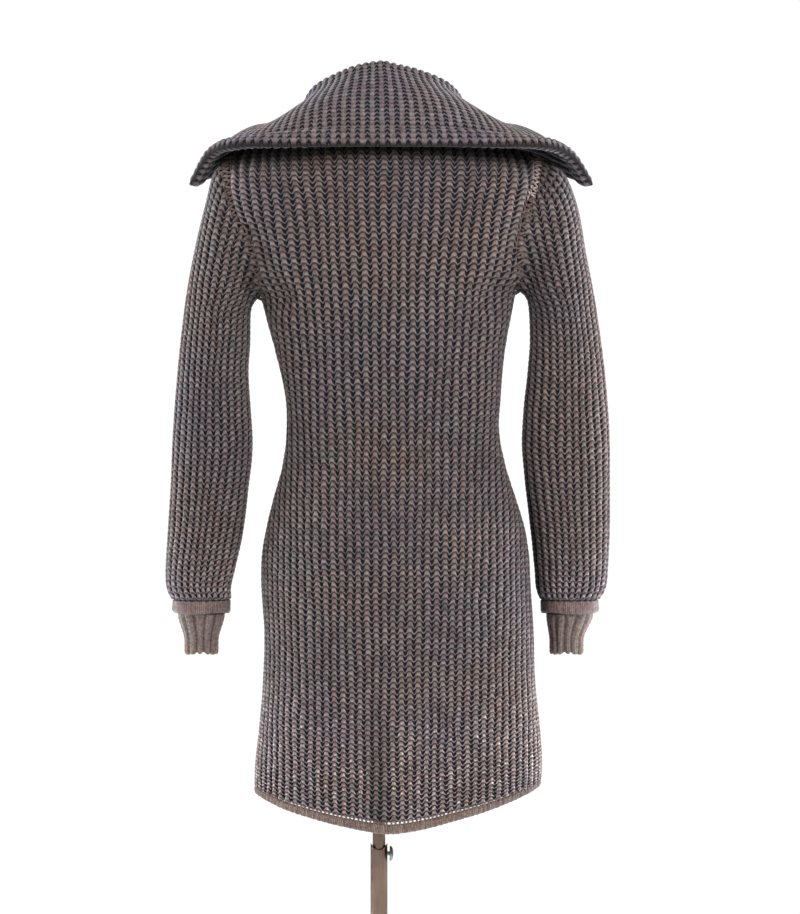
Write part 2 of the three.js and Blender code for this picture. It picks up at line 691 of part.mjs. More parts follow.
function form() {
  const rows = [FORM_BOTTOM_V, ...PANEL_V.filter((v) => v > FORM_BOTTOM_V + 15)];
  const rings = rows.map(formRing);
  rings[0] = rings[0].map(([x, y]) => [x, y, FORM_FLOOR]);
  const count = rings[0].length;
  const triangles = [];
  for (let i = 0; i < rings.length - 1; i++)
    for (let j = 0; j < count; j++) {
      const k = (j + 1) % count;
      triangles.push(...quad(rings[i][j], rings[i][k], rings[i + 1][k], rings[i + 1][j]));
    }
  const bottom = [0, 0, FORM_FLOOR];
  for (let j = 0; j < count; j++)
    triangles.push([rings[0][(j + 1) % count], rings[0][j], bottom]);
  // the neck rises from the inner part of the top ring
  const top = rings[rings.length - 1];
  const isNeck = (j) => {
    const u = backColumns()[j < BODY_U + 1 ? j : 2 * BODY_U + 1 - j];
    return Math.abs(u) < NECK_U;
  };
  const neckBase = top.filter((_, j) => isNeck(j));
  closeShoulders(top, triangles, isNeck);
  const neckRing = (t) =>
    neckBase.map((p) => {
      const angle = Math.atan2(p[1] / FORM_NECK.back, (p[0] - NECK_X) / FORM_NECK.half);
      const depth = p[1] > 0 ? FORM_NECK.back : FORM_NECK.front;
      const z = p[2] + (FORM_NECK.top - p[2]) * t;
      const narrow = 1 - 0.1 * t;
      return [
        NECK_X + FORM_NECK.half * narrow * Math.cos(angle),
        depth * narrow * Math.sin(angle),
        z,
      ];
    });
  const neck = [neckBase, neckRing(0.25), neckRing(0.6), neckRing(1)];
  for (let i = 0; i < neck.length - 1; i++)
    for (let j = 0; j < neckBase.length; j++) {
      const k = (j + 1) % neckBase.length;
      triangles.push(...quad(neck[i][j], neck[i][k], neck[i + 1][k], neck[i + 1][j]));
    }
  const cap = [NECK_X, -2, FORM_NECK.top + FORM_NECK.cap];
  const rim = neck[neck.length - 1];
  rim.forEach((p, j) => triangles.push([p, rim[(j + 1) % rim.length], cap]));
  return cut(closedGeometry(triangles), socket());
}

// The pole stands in a socket in the form's underside, on the pole's axis.
function socket() {
  const { radius, depth } = SOCKET;
  const hole = new THREE.CylinderGeometry(radius, radius, 2 * depth, POLE_SIDES);
  return hole.rotateX(Math.PI / 2).translate(-COAT_X, 0, FORM_FLOOR);
}

// Between the neck and the arm plates, the two shoulder lines are sewn shut.
function closeShoulders(top, triangles, isNeck) {
  const count = top.length;
  const half = count / 2;
  for (let j = 0; j < half - 1; j++) {
    if (isNeck(j) && isNeck(j + 1)) continue;
    const back = [top[j], top[j + 1]];
    const front = [top[count - 1 - j], top[count - 2 - j]];
    triangles.push(...quad(back[0], back[1], front[1], front[0]));
  }
}

// ---------------------------------------------------------------- stand

function turned(profile, sides) {
  const points = profile.map(([radius, z]) => new THREE.Vector2(radius, z));
  return new THREE.LatheGeometry(points, sides).rotateX(Math.PI / 2);
}

function innerTube() {
  const { radius, bottom, top } = INNER_TUBE;
  const chamfer = 1;
  return turned(
    [
      [0, bottom],
      [radius - chamfer, bottom],
      [radius, bottom + chamfer],
      [radius, top],
      [0, top],
    ],
    POLE_SIDES,
  );
}

// The outer tube's mouth is cut to a saddle, with an ear on each side.
function outerTube() {
  const { radius, bore, top, saddle } = OUTER_TUBE;
  const bottom = BASE.hubTop + SEAM;
  const tube = turned(
    [
      [bore, bottom],
      [radius, bottom],
      [radius, top],
      [bore, top],
      [bore, bottom],
    ],
    POLE_SIDES,
  );
  const cutterRadius = (radius * radius + saddle * saddle) / (2 * saddle);
  const cutter = new THREE.CylinderGeometry(cutterRadius, cutterRadius, 60, 48);
  cutter.translate(0, 0, top - saddle + cutterRadius);
  const hole = new THREE.CylinderGeometry(SCREW.shank + 0.4, SCREW.shank + 0.4, 30, 16);
  hole.rotateZ(Math.PI / 2).translate(-15, 0, SCREW.z);
  return cut(cut(tube, cutter), hole);
}

function base() {
  const { radius, edge, hub, hubTop, crown, sides } = BASE;
  return turned(
    [
      [0, 0],
      [radius, 0],
      [radius, edge],
      [radius - 4, edge + 2],
      [radius * 0.5, crown],
      [hub, crown + 1],
      [hub * 0.62, crown + 8],
      [OUTER_TUBE.radius + 3, hubTop - 3],
      [OUTER_TUBE.radius + 3, hubTop],
      [0, hubTop],
    ],
    sides,
  );
}

// The thumb screw: a shank through the outer tube's wall and a domed head.
function thumbScrew() {
  const { shank, head, headThick, headGap, rim } = SCREW;
  const start = INNER_TUBE.radius + SEAM;
  const flat = OUTER_TUBE.radius + headGap;
  const body = turned(
    [
      [0, start],
      [shank, start],
      [shank, flat],
      [head, flat],
      [head, flat + rim],
      [head * 0.86, flat + headThick * 0.62],
      [head * 0.5, flat + headThick * 0.93],
      [0, flat + headThick],
    ],
    20,
  );
  return body.rotateY(-Math.PI / 2);
}

// ---------------------------------------------------------------- materials

function material(color, roughness, metalness = 0) {
  return new THREE.MeshStandardMaterial({ color, roughness, metalness });
}

const KNIT = () => material(0x6f6460, 0.95);
const BAND = () => material(0x7d6a60, 0.95);
const FORM = () => material(0xd8d2c8, 0.8);
const STEEL = () => material(0x8d7d72, 0.35, 0.9);
const DARK = () => material(0x5c5955, 0.4, 0.6);

// ---------------------------------------------------------------- assembly

const root = new THREE.Group();
const coat = new THREE.Group();
coat.position.x = COAT_X;
root.add(coat);

function piece(parent, name, geometry, finish) {
  const mesh = new THREE.Mesh(geometry, finish);
  mesh.name = name;
  parent.add(mesh);
  return mesh;
}

const back = panel(1, backColumns);
const frontLeft = panel(-1, frontColumns(1));
const frontRight = panel(-1, frontColumns(-1));
piece(coat, "back", back.geometry, KNIT());
piece(coat, "front_left", frontLeft.geometry, KNIT());
piece(coat, "front_right", frontRight.geometry, KNIT());
piece(coat, "hem_band_back", hemBand(1, backColumns), BAND());
piece(coat, "hem_band_front_left", hemBand(-1, frontColumns(1)), BAND());
piece(coat, "hem_band_front_right", hemBand(-1, frontColumns(-1)), BAND());

const ringLeft = armholeRing(back, frontLeft, BODY_U);
const ringRight = armholeRing(back, frontRight, 0);
piece(coat, "sleeve_left", sleeve(SLEEVE_LEFT, 1, ringLeft), KNIT());
piece(coat, "sleeve_right", sleeve(SLEEVE_RIGHT, -1, ringRight), KNIT());
const wristLeft = SLEEVE_LEFT[SLEEVE_LEFT.length - 1];
const wristRight = SLEEVE_RIGHT[SLEEVE_RIGHT.length - 1];
piece(coat, "cuff_band_left", cuffBand(wristLeft, 1), BAND());
piece(coat, "cuff_band_right", cuffBand(wristRight, -1), BAND());
piece(coat, "cuff_rib_left", cuffRib(wristLeft, 1, 0), BAND());
piece(coat, "cuff_rib_right", cuffRib(wristRight, -1, CUFF_SHIFT_RIGHT), BAND());
const panels = { back, left: frontLeft, right: frontRight };
piece(coat, "collar", collar(panels), KNIT());

piece(coat, "form_torso", form(), FORM());
piece(root, "inner_tube", innerTube(), STEEL());
piece(root, "outer_tube", outerTube(), STEEL());
piece(root, "base_plate", base(), STEEL());
const screw = piece(root, "clamp_screw", thumbScrew(), DARK());
screw.position.z = SCREW.z;

export default root;
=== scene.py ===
# %% [markdown]
# # A two-colour knit coat on a dress form
#
# The coat is a chunky half-cardigan knit: raised columns of taupe loops, pale strands that
# zigzag between them, and navy yarn that shows in the furrows. This lesson lays a fine grid
# over each cut piece, counts columns and rows of stitches across it in real millimetres,
# and raises every stitch in the mesh. The colours then come from the same count.

# %% Load the frame
import math

import bpy
import numpy as np
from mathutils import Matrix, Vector
from mathutils.bvhtree import BVHTree


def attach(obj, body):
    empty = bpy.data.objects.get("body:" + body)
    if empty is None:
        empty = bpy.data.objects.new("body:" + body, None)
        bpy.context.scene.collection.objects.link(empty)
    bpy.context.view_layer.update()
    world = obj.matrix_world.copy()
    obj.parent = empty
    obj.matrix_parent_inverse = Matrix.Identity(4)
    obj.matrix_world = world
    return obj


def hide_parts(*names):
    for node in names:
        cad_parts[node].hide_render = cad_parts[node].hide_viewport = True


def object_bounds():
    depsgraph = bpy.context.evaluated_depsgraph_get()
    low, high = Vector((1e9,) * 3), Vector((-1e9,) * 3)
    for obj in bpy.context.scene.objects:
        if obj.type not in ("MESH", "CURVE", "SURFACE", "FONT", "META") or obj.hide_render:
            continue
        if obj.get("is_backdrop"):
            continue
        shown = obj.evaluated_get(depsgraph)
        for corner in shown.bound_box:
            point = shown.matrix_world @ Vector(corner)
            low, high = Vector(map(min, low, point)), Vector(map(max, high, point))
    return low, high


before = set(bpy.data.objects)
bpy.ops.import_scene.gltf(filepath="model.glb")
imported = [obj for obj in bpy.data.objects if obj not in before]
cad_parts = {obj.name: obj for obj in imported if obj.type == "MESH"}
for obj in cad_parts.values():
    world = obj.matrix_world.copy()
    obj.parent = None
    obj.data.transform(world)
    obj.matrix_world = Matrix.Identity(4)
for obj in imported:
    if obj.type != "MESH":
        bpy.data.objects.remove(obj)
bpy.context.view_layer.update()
MM = 0.001

# %% [markdown]
# ## Camera
#
# The coat is seen from behind, level, from far enough away that the sleeves don't splay.
# A long lens at 3.6 m does that. The lens length follows from the height that the view
# has to cover at the pole.

# %% Camera
VIEW_DISTANCE = 3.6
VIEW_HEIGHT = 1.161  # metres covered from top to bottom at the pole
camera_data = bpy.data.cameras.new("camera")
camera_data.sensor_width = 36.0
camera_data.lens = camera_data.sensor_width * VIEW_DISTANCE / VIEW_HEIGHT
camera = bpy.data.objects.new("camera", camera_data)
camera.location = (-0.0267, VIEW_DISTANCE, 1.0275)
camera.rotation_euler = (math.radians(90), 0, math.radians(180))
bpy.context.scene.collection.objects.link(camera)
bpy.context.scene.camera = camera
print("lens:", round(camera_data.lens, 1), "mm")

# %% [markdown]
# ## The cut of the coat
#
# Each piece of the coat has its own short table, in millimetres from the coat's centre
# line. A section of the body is a flattened ellipse: half widths, depths, and heights that
# dip at the centre back of the hem. Above the underarm the section is cut by the armhole,
# and the scye columns say how far behind and before the arm its edges lie.

# %% Sizes of the body
COAT_X = -13  # the coat's centre line, from the pole's axis
WALL = 4.5
SEAM = 0.3
HEM_BAND = 12  # height of the band under the panels
BODY_COLUMNS = "zLeft zRight zBack zFront left right back front scyeBack scyeFront".split()
BODY_ROWS = [
    [603, 612, 563, 594, 170, 191, 112, 118, 0, 0],  # hem
    [637, 641, 612, 630, 169, 193, 114, 118, 0, 0],
    [683, 685, 668, 679, 164, 190, 117, 118, 0, 0],
    [744, 745, 736, 743, 159, 184, 119, 117, 0, 0],
    [805, 805, 803, 805, 157, 182, 121, 115, 0, 0],
    [866, 866, 866, 866, 161, 178, 124, 113, 0, 0],  # seat
    [905, 905, 905, 905, 160, 176, 125, 112, 0, 0],
    [940, 940, 940, 940, 154, 170, 121, 110, 0, 0],
    [973, 973, 973, 973, 146, 160, 111, 107, 0, 0],
    [1018, 1018, 1018, 1018, 134, 146, 95, 102, 0, 0],
    [1064, 1064, 1064, 1064, 129, 138, 84, 99, 0, 0],  # waist
    [1100, 1100, 1100, 1100, 130, 140, 82, 102, 0, 0],
    [1140, 1140, 1142, 1139, 138, 143, 86, 111, 0, 0],
    [1186, 1188, 1189, 1184, 150, 150, 94, 126, 0, 0],
    [1229, 1236, 1234, 1227, 161, 159, 101, 136, 0, 0],  # underarm
    [1253, 1257, 1272, 1264, 163, 159, 105, 140, 40, 44],
    [1290, 1292, 1310, 1300, 171, 161, 107, 138, 58, 62],
    [1335, 1335, 1352, 1340, 190, 170, 103, 127, 57, 58],
    [1378, 1376, 1396, 1374, 199, 180, 92, 107, 38, 38],  # yoke
]
BODY = {key: np.array([row[i] for row in BODY_ROWS], float) for i, key in enumerate(BODY_COLUMNS)}
NECK_X = 7
NECK_POINT = (78, 6, 1450)
SHOULDER = {1: (203, 0, 1414), -1: (186, 0, 1412)}  # the left and the right tip
NECK_CURVE = {1: (60, 1440), -1: (64, 1404)}  # depth and height at the back and the front
NECK_U = 0.42
HEM_Z = BODY["zBack"][0]
UNDERARM_V = BODY["zBack"][14] - HEM_Z
TOP_V = NECK_CURVE[1][1] - HEM_Z
V_NECK_BOTTOM = UNDERARM_V + 2
COLLAR_END_V = UNDERARM_V + 128
ROW_V = np.append(BODY["zBack"] - HEM_Z, TOP_V)

# %% [markdown]
# ## Curves
#
# Cloth has no corners, so every table is read through a smooth curve. The spline passes
# through its points with the slope of their neighbours. The smooth step is a soft switch
# from 0 to 1, which fades one shape into another.

# %% Curves
def smooth(x):
    t = np.clip(x, 0, 1)
    return t * t * (3 - 2 * t)


def unit(a):
    return a / np.maximum(np.linalg.norm(a, axis=-1, keepdims=True), 1e-9)


def spline(stations, points, t):
    """The point at t on a smooth curve through points[k] at stations[k]."""
    last = len(stations) - 1
    i = int(np.clip(np.searchsorted(stations, t) - 1, 0, last - 1))

    def slope(k):
        a, b = max(0, k - 1), min(last, k + 1)
        return (points[b] - points[a]) / (stations[b] - stations[a])

    span = stations[i + 1] - stations[i]
    s = (t - stations[i]) / span
    return (
        (2 * s**3 - 3 * s**2 + 1) * points[i]
        + (s**3 - 2 * s**2 + s) * span * slope(i)
        + (3 * s**2 - 2 * s**3) * points[i + 1]
        + (s**3 - s**2) * span * slope(i + 1)
    )


# %% [markdown]
# ## The body's surface
#
# A place on the body has a side (1 for the back, -1 for the front), a value u from -1 at
# the right seam to 1 at the left, and a height v over the hem. The topmost line runs over
# the shoulders and round the neck.

# %% The body's surface
def section_points(side, u, below_arm):
    """Every section of the body at the values u, from -1 (right seam) to 1 (left)."""
    left = (u >= 0)[None, :]
    pick = lambda a, b: np.where(left, BODY[a][:, None], BODY[b][:, None])
    depth = BODY["back" if side > 0 else "front"][:, None]
    scye = BODY["scyeBack" if side > 0 else "scyeFront"][:, None] * (0 if below_arm else 1)
    centre = BODY["zBack" if side > 0 else "zFront"][:, None]
    angle = np.abs(u)[None, :] * math.pi / 2
    across = np.sin(angle)
    out = np.maximum(0, np.cos(angle)) ** 0.85
    x = np.where(left, 1, -1) * pick("left", "right") * across
    y = side * (scye + (depth - scye) * out)
    z = centre + (pick("zLeft", "zRight") - centre) * across**1.5
    return np.stack([x, y + 0 * x, z], axis=-1)


def top_points(side, u):
    """The shoulder line and the neckline."""
    sign = np.where(u >= 0, 1, -1)
    along = np.abs(u)
    tip = np.where((u >= 0)[:, None], SHOULDER[1], SHOULDER[-1])
    neck = 0 * u[:, None] + NECK_POINT
    neck[:, 0] += NECK_X * sign
    t = np.clip((along - NECK_U) / (1 - NECK_U), 0, 1)[:, None]
    shoulder = neck + (tip - neck) * t
    shoulder[:, 0] *= sign
    angle = np.clip(along / NECK_U, 0, 1) * math.pi / 2
    depth, height = NECK_CURVE[side]
    round_neck = np.stack(
        [
            NECK_X + sign * NECK_POINT[0] * np.sin(angle),
            NECK_POINT[1] + (side * depth - NECK_POINT[1]) * np.cos(angle),
            height + (NECK_POINT[2] - height) * np.sin(angle) ** 2,
        ],
        -1,
    )
    return np.where((along >= NECK_U)[:, None], shoulder, round_neck)


def smooth_surface(side, u, v):
    """Points at the values u (n) and one height v, or one height for each row of u (m, n)."""
    if u.ndim == 2:
        return np.stack([smooth_surface(side, row, height) for row, height in zip(u, v)])
    rows = section_points(side, u, v <= UNDERARM_V)
    return spline(ROW_V, np.concatenate([rows, top_points(side, u)[None]]), v)


# %% [markdown]
# ## Folds
#
# Cloth on a figure is never quite smooth. The hollows beside the arms and the long waves
# of the skirt come first, then small creases, uneven on purpose. Each is a soft groove
# along a line, pressed towards the body's axis, and a negative depth is a ridge.

# %% Folds
AXIS_TOP = 1290  # from the shoulders, the way in points down to here


def inwards(p):
    """The way from each point towards the body's axis."""
    core = np.stack([0 * p[..., 2], 0 * p[..., 2], np.minimum(p[..., 2], AXIS_TOP)], -1)
    return unit(core - p)


# A fold is a side, a line from (x, z) to (x, z), half its width across, and its depth.
BODY_FOLDS = [
    (1, 176, 1305, 138, 1226, 17, 8.5),
    (1, -168, 1312, -128, 1222, 16, 8),
    (1, 60, 1052, -70, 1046, 15, 2.2),
    (1, -60, 1098, 74, 1106, 15, 1.8),
    (1, 52, 770, 44, 580, 26, 3),
    (1, -64, 760, -80, 580, 30, 3.4),
    (1, 120, 700, 126, 590, 20, -2.5),
    (1, -8, 700, -12, 560, 22, -2.2),
    (-1, 158, 1300, 118, 1218, 22, 6),
    (-1, -156, 1304, -114, 1218, 20, 6),
    (-1, 70, 780, 82, 600, 26, 3.4),
    (-1, -84, 760, -78, 600, 28, 3),
]
SMALL_FOLDS = [
    (1, 100, 1140, 150, 1178, 11, 1.6),
    (1, -96, 1134, -146, 1172, 12, 1.5),
    (1, 90, 1010, 30, 996, 12, 1.5),
    (1, -20, 962, -96, 950, 13, 1.2),
    (1, 96, 905, -10, 892, 14, -1.3),
    (1, -120, 846, -30, 834, 13, 1.2),
    (1, 10, 1352, -60, 1358, 16, 1.2),
    (1, 84, 1372, 30, 1362, 13, 1.1),
    (1, -90, 700, -108, 640, 14, 1.6),
    (-1, 70, 1036, 20, 1044, 13, 1.8),
    (-1, -64, 1060, -16, 1052, 12, 1.6),
    (-1, 90, 960, 40, 944, 14, 1.4),
    (-1, -104, 930, -40, 916, 15, 1.5),
    (-1, 104, 1180, 60, 1206, 13, 1.6),
    (-1, -98, 1176, -52, 1200, 13, 1.7),
]


def fold_depth(side, p, folds):
    """How deep the folds lie at the points p."""
    depth = np.zeros(p.shape[:-1])
    for s, x0, z0, x1, z1, reach, deep in folds:
        if s != side:
            continue
        dx, dz = x1 - x0, z1 - z0
        t = np.clip(((p[..., 0] - x0) * dx + (p[..., 2] - z0) * dz) / (dx * dx + dz * dz), 0, 1)
        away = np.hypot(p[..., 0] - x0 - t * dx, p[..., 2] - z0 - t * dz)
        depth += deep * np.exp(-((away / reach) ** 2))
    return depth


def body_surface(side, u, v, folds=BODY_FOLDS):
    p = smooth_surface(side, u, v)
    height = np.asarray(v)[..., None] if u.ndim == 2 else v
    fade = smooth((1 - np.abs(u)) / 0.12) * smooth((TOP_V - height) / 60)
    return p + inwards(p) * (fold_depth(side, p, folds) * fade)[..., None]


def wall_inset(side, u, v, wall):
    """The step from the outer surface to the inner one, wall millimetres away."""
    e = 0.004  # of u, for the slopes
    at = lambda du, dv: smooth_surface(
        side, np.clip(u + du, -1, 1), np.clip(np.asarray(v) + dv, 0, TOP_V)
    )
    p = at(0, 0)
    normal = unit(np.cross(at(e, 0) - at(-e, 0), at(0, 1) - at(0, -1)))
    way = inwards(p)
    facing = np.abs((normal * way).sum(-1, keepdims=True))
    return way * (np.asarray(wall)[..., None] if np.ndim(wall) else wall) / np.clip(facing, 0.6, 1)


print("body table:", len(BODY_ROWS), "sections, hem to neck", TOP_V, "mm")

# %% [markdown]
# ## Counting stitches
#
# A hand knit is not even. Across the shoulders the loops are wide, and towards the hem they
# are narrower and flatter. Three lists give the width and height of a stitch in millimetres
# at heights of the body. Columns run parallel to the centre back and are cut by the seams,
# so a column number is the distance round the body from the centre, divided by the width.

# %% Stitch gauge
GAUGE_Z = [560, 660, 780, 900, 1000, 1100, 1180, 1240, 1316, 1380, 1440]
STITCH_WIDTH = [10.4, 10.4, 10.5, 10.7, 11.0, 11.4, 11.7, 12.0, 12.8, 13.7, 13.9]
STITCH_HEIGHT = [5.9, 6.2, 6.9, 7.1, 7.4, 7.7, 7.9, 7.8, 7.3, 6.8, 6.6]
heights = np.linspace(0, TOP_V, 600)


def running(steps):
    """The sum of the steps so far, from 0."""
    return np.concatenate([0 * steps[:1], np.cumsum(steps, axis=0)])


def run_along(line):
    """The distance from the first point of a line to each of its points."""
    return running(np.linalg.norm(np.diff(line, axis=0), axis=-1))


row_count = running(np.diff(heights) / np.interp(heights[1:] + HEM_Z, GAUGE_Z, STITCH_HEIGHT))


def arc_lengths(side, u, v):
    """Distance round the body from its centre line to each u, in rows."""
    fine = np.linspace(0, 1, 61)
    out = np.zeros_like(u)
    for i, height in enumerate(v):
        for sign in (1, -1):
            run = run_along(smooth_surface(side, sign * fine, height))
            mine = np.sign(u[i]) == sign
            out[i][mine] = sign * np.interp(np.abs(u[i][mine]), fine, run)
    return out


def unevenness(c, r):
    """How far the loops wander from their count, in stitches: slow and never repeating."""
    along = 0.07 * np.sin(0.37 * r + 1.9 * np.sin(0.21 * c + 0.4)) * np.cos(0.61 * c)
    along += 0.045 * np.sin(1.13 * r + 2.3 * c) + 0.03 * np.sin(0.83 * c - 0.47 * r + 1)
    across = 0.055 * np.sin(0.29 * r + 2.1 * np.sin(0.53 * c)) + 0.04 * np.sin(0.9 * r - 1.7 * c)
    across += 0.05 * np.sin(0.107 * r + 0.9 * c)
    return across, along


print("rows from hem to neck:", round(float(row_count[-1]), 1))

# %% [markdown]
# ## One stitch
#
# In half-cardigan knit each ridge is a stack of bells, one to a row, and a pale strand runs
# from the foot of each bell down into the furrow, where it meets its neighbour in a V with
# the dark yarn below it. Moved along a zigzag, every row looks the same, so one number, the
# phase from 0 to 1 above the dark line, is enough for both height and colour.

# %% Relief of a stitch
SWAY = 0.62  # how far a row dips into the furrow, in rows
SWAY_FROM = 0.15  # where the dip starts, in columns from the crown
OPEN_LOW = 0.07  # the bells are this much narrower at the hem, where the knit opens
OPEN_ROWS = 24  # rows from the hem to where the knit is closed again
RAISE = 1.35  # millimetres from the mean surface to the crown of a bell


def stitch_relief(c, r):
    """Height in millimetres of the half-cardigan stitch at column c and row r."""
    a = np.abs(c % 1 - 0.5)
    sag = np.clip((a - SWAY_FROM) / (0.5 - SWAY_FROM), 0, 1)
    phase = (r + SWAY * sag) % 1
    from_dark = np.minimum(phase, 1 - phase)
    crown = np.cos(2 * math.pi * a)
    width = 0.39 - 0.17 * smooth(phase) - OPEN_LOW * smooth((OPEN_ROWS - r) / OPEN_ROWS)
    bell = smooth((width - a) / 0.16 + 0.5)
    strand = np.exp(-(((phase - 0.26) / 0.16) ** 2)) * (1 - bell)
    notch = np.exp(-((from_dark / 0.13) ** 2))
    height = -1.0 + 1.7 * bell + 0.45 * crown + 0.8 * strand - notch * (0.4 + 0.7 * (1 - bell))
    return RAISE * height


# %% [markdown]
# ## Grids and pieces
#
# Every piece starts as a grid of points: the rows of a panel, or the rings of a tube. A few
# helpers turn grids into faces, find which way a grid faces, and add the piece.

# %% Grids and pieces
def add_piece(name, points, faces):
    """An object from points in millimetres."""
    mesh = bpy.data.meshes.new(name)
    mesh.from_pydata((np.array(points) * MM).tolist(), [], faces)
    mesh.polygons.foreach_set("use_smooth", [True] * len(mesh.polygons))
    made = bpy.data.objects.new(name, mesh)
    bpy.context.scene.collection.objects.link(made)
    return made


def quads(grid, flip):
    """The four corners of every cell of a grid of numbers or points."""
    f = np.stack([grid[:-1, :-1], grid[:-1, 1:], grid[1:, 1:], grid[1:, :-1]], axis=2)
    return (f[:, :, ::-1] if flip else f).reshape(-1, 4, *grid.shape[2:])


def tube_faces(first, rings, sides):
    """Faces between rings of points, closed round the tube."""
    faces = []
    for i in range(rings - 1):
        low, high = first + i * sides, first + (i + 1) * sides
        for k in range(sides):
            n = (k + 1) % sides
            faces.append((low + k, low + n, high + n, high + k))
    return faces


def signed_volume(points, faces):
    a, b, c, d = (points[corner] for corner in np.array(faces).T)
    return float(((a * np.cross(b, c)).sum(-1) + (a * np.cross(c, d)).sum(-1)).sum())


def grid_normals(p, closed=False):
    """Unit normals of a grid of points."""
    if closed:
        wide = np.concatenate([p[:, -2:-1], p, p[:, 1:2]], axis=1)
        across = (wide[:, 2:] - wide[:, :-2]) / 2
    else:
        across = np.gradient(p, axis=1)
    return unit(np.cross(across, np.gradient(p, axis=0)))


# %% [markdown]
# ## Making a wall of cloth
#
# A piece of knit is a closed wall: a fine outer grid that carries the stitches, a plain
# inner grid with fewer points, and a rim of faces between the two. Two maps are stored on
# it. "stitches" counts columns and rows for the material, and "OFBake" lays the piece out
# flat without overlaps.

# %% Wall of cloth
def flat_grid(shape, left, width):
    """Where a grid lies on the flat map."""
    u, v = np.meshgrid(np.linspace(0, 1, shape[1]), np.linspace(0, 1, shape[0]))
    return np.stack([left + width * u, 0.01 + 0.98 * v], -1)


def wall_object(name, outer, inner, count, step, closed=False):
    """outer (m, n, 3) and inner (every step-th point) in millimetres; count (m, n, 2)."""
    for grid in (outer, inner):
        grid[..., 0] += COAT_X
    m, n = outer.shape[:2]
    rows, columns = inner.shape[:2]
    if closed:
        n, columns = n - 1, columns - 1
    o = np.arange(m * n).reshape(m, n)
    q = m * n + np.arange(rows * columns).reshape(rows, columns)
    if closed:
        o, q = np.hstack([o, o[:, :1]]), np.hstack([q, q[:, :1]])
    points = np.concatenate([outer[:, :n].reshape(-1, 3), inner[:, :columns].reshape(-1, 3)])
    faces = quads(o, False).tolist() + quads(q, True).tolist()
    rim_faces, rim_stitch, rim_bake = [], [], []

    def rim(outer_line, inner_line, outer_count, strip, turn):
        order = -1 if turn else 1
        for k in range(len(inner_line) - 1):
            part = list(range(k * step, k * step + step + 1))
            ends = [part[-1], part[0]]
            face = [outer_line[j] for j in part] + [inner_line[k + 1], inner_line[k]]
            across = [0.803 + 0.006 * strip] * len(part) + [0.807 + 0.006 * strip] * 2
            along = [0.01 + 0.98 * (j / (len(outer_line) - 1)) for j in part + ends]
            rim_faces.append([int(x) for x in face[::order]])
            rim_stitch.extend([outer_count[j] for j in part + ends][::order])
            rim_bake.extend(list(zip(across, along))[::order])

    rim(o[0], q[0], count[0], 0, True)
    rim(o[-1], q[-1], count[-1], 1, False)
    if not closed:
        rim(o[:, 0], q[:, 0], count[:, 0], 2, False)
        rim(o[:, -1], q[:, -1], count[:, -1], 3, True)

    made = add_piece(name, points, faces + rim_faces)
    flat_outer, flat_inner = flat_grid(o.shape, 0.01, 0.79), flat_grid(q.shape, 0.83, 0.16)
    for map_name, on_outer, on_inner, on_rim in (
        ("stitches", count, count[::step, ::step], rim_stitch),
        ("OFBake", flat_outer, flat_inner, rim_bake),
    ):
        corners = np.concatenate([quads(on_outer, False), quads(on_inner, True)]).reshape(-1, 2)
        corners = np.concatenate([corners, np.array(on_rim, float)])
        layer = made.data.uv_layers.new(name=map_name)
        layer.data.foreach_set("uv", corners.astype(np.float32).ravel())
    if signed_volume(points, faces) < 0:
        made.data.flip_normals()
    made.data.update()
    triangles = sum(len(p.vertices) - 2 for p in made.data.polygons)
    print(f"{name}: {triangles} triangles")
    return made


# %% [markdown]
# ## Back and fronts
#
# The back is one panel and the fronts are two, cut to a V at the neck. Near a seam the
# stitches sink a little, as they do where two edges are drawn together.

# %% Body panels
PER_STITCH = 4  # points of the outer grid to a stitch
INNER_STEP = 4  # outer points to one inner point
V_PANEL_LOW = HEM_BAND + SEAM + 2.2
SEAM_SINKS = 3.5  # millimetres from a seam over which the stitches flatten
SEAM_DEPTH = 0.9
LEVEL_Z = 1170  # above this the rows lie level, not parallel to the hem
YOKE_Z = 1220  # and above this the columns stand upright, since the yoke is blocked flat
UPRIGHT, YOKE_UPRIGHT = 0.3, 0.3  # how upright the columns are, and how much more there


def front_edge_u(v):
    """The V of the neck: u of a front's edge at the height v."""
    rise = np.clip((v - V_NECK_BOTTOM) / (TOP_V - V_NECK_BOTTOM), 0, 1)
    return NECK_U * rise**1.5


def whole_steps(n):
    return int(math.ceil(n / INNER_STEP) * INNER_STEP)


